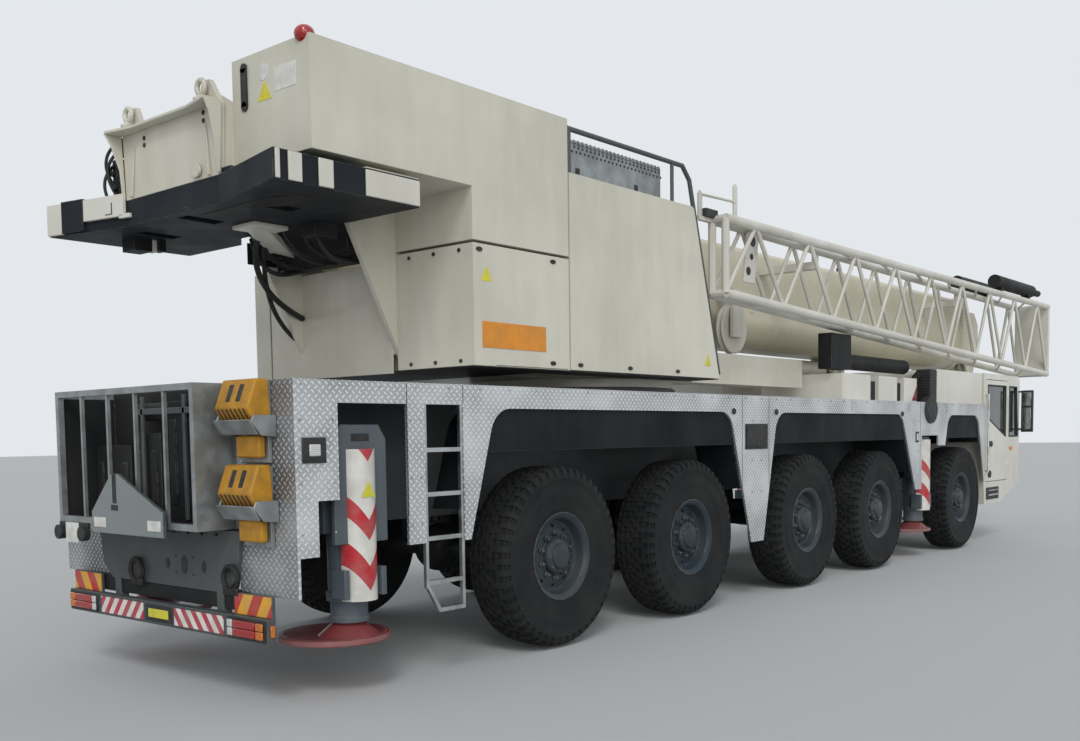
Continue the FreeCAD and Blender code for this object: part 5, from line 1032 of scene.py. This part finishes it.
turned(JIB_WHEEL, [(0.2, -0.03), (0.06, -0.012), (0.05, -0.04), (0.0, -0.04)], 48, closed=False)
block((3.62, -0.70, 2.6), (3.82, -0.66, 3.1))
block((3.66, -0.66, 3.02), (3.78, -0.45, 3.1))
piece("jib_rope_wheel", "boom", JIB_CREAM, bevel=0.003)


# Finishes of the pieces that stay as they are

FINISHES = {"chassis_frame": FRAME_GREY, "axle_beams": SOOT, "side_skirts": TREAD, "deck": TREAD, "arch_liners": LINER,
            "rear_rack": GALVANISED, "rear_bumper": FRAME_GREY, "access_ladders": ZINC, "carrier_cab": PALE,
            "cab_glass": GLASS, "cab_interior": TRIM, "cab_mirrors": BLACK, "deck_boxes": PALE, "carrier_engine": SOOT,
            "slewing_platform": CREAM, "housings": CREAM, "cooler_and_rail": GALVANISED, "counterweight": BALLAST,
            "winch_drum": DARK_STEEL, "operator_cab": CREAM, "operator_door": CREAM, "luffing_barrel": CREAM,
            "luffing_rod": CHROME, "boom_base": BOOM_CREAM, "lattice_jib": JIB_CREAM, "jib_rams": SOOT, }
FINISH_STARTS = {"knuckle": SOOT, "stabiliser_beam": SHIELD_GREY, "stabiliser_leg": PAD_RED, "cab_door": PALE,
                 "telescope": BOOM_CREAM, "wheel": RIM}
for name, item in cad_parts.items():
    finish = FINISHES.get(name) or next(look for start, look in FINISH_STARTS.items() if name.startswith(start))
    item.data.materials.clear()
    item.data.materials.append(finish)


# Studio

def lamp(name, place, aim, energy, angle):
    """A soft sun that shines from a place towards an aim; a wider angle blurs its shadows."""
    data = bpy.data.lights.new(name, "SUN")
    data.energy = energy
    data.angle = math.radians(angle)
    item = bpy.data.objects.new(name, data)
    item.location = place
    item.rotation_euler = (Vector(aim) - Vector(place)).to_track_quat("-Z", "Y").to_euler()
    bpy.context.scene.collection.objects.link(item)


lamp("sky_key", (-12, -10, 15), (0, 0, 0), 0.9, 18)
lamp("side_fill", (-9, -14, 4), (0, 0, 1), 1.2, 50)

world = bpy.data.worlds.new("studio")
bpy.context.scene.world = world
world.use_nodes = True
world.node_tree.nodes.clear()
node = partial(add, world.node_tree)
seen = node("LightPath", "Is Camera Ray", {})
for kind in ("Is Glossy Ray", "Is Transmission Ray"):
    seen = node("Math", "Value", {0: seen, 1: node("LightPath", kind, {})}, operation="MAXIMUM")
plain = node("Background", "Background", {"Color": "#E4E8EC", "Strength": 0.52})
shown = node("Background", "Background", {"Color": "#E4E8EC", "Strength": 1.0})
node("OutputWorld", None, {"Surface": node("MixShader", "Shader", {0: seen, 1: plain, 2: shown})})

bmesh.ops.create_grid(bm, x_segments=1, y_segments=1, size=120)
mesh = bpy.data.meshes.new("studio_floor")
bm.to_mesh(mesh)
bm.free()
floor = bpy.data.objects.new("studio_floor", mesh)
bpy.context.scene.collection.objects.link(floor)
material = start_material("pale_floor", {"Roughness": 0.9, "Base Color": "#C9CBCB"})[0]
mesh.materials.append(material)
floor.location.z = -0.002

# The photograph's camera: its place, its two turns, its slight roll, and its lens in pixels
PHOTO_WIDTH, PHOTO_HEIGHT = 1080, 741
FOCAL_LENGTH, CENTRE_ROW = 1090.43, 508.54
SENSOR = 36
eye = Vector((-6.361 + TO_MIDDLE, -6.513, 1.610))
yaw, pitch, roll = math.radians(40.315), math.radians(-3.847), math.radians(-0.787)
ahead = Vector((math.cos(pitch) * math.cos(yaw), math.cos(pitch) * math.sin(yaw), math.sin(pitch)))
rightward = ahead.cross(Vector((0, 0, 1))).normalized()
upward = rightward.cross(ahead)
rolled = rightward * math.cos(roll) + upward * math.sin(roll)
risen = upward * math.cos(roll) - rightward * math.sin(roll)
camera_data = bpy.data.cameras.new("photo_camera")
camera_data.sensor_fit = "HORIZONTAL"
camera_data.sensor_width = SENSOR
camera_data.lens = FOCAL_LENGTH / PHOTO_WIDTH * SENSOR
camera_data.shift_y = (CENTRE_ROW - PHOTO_HEIGHT / 2) / PHOTO_WIDTH
camera_data.clip_end = 400
camera = bpy.data.objects.new("photo_camera", camera_data)
camera.matrix_world = Matrix(((rolled.x, risen.x, -ahead.x, eye.x), (rolled.y, risen.y, -ahead.y, eye.y),
                              (rolled.z, risen.z, -ahead.z, eye.z), (0, 0, 0, 1)))
bpy.context.scene.collection.objects.link(camera)
bpy.context.scene.camera = camera
bpy.context.scene.view_settings.view_transform = "Standard"
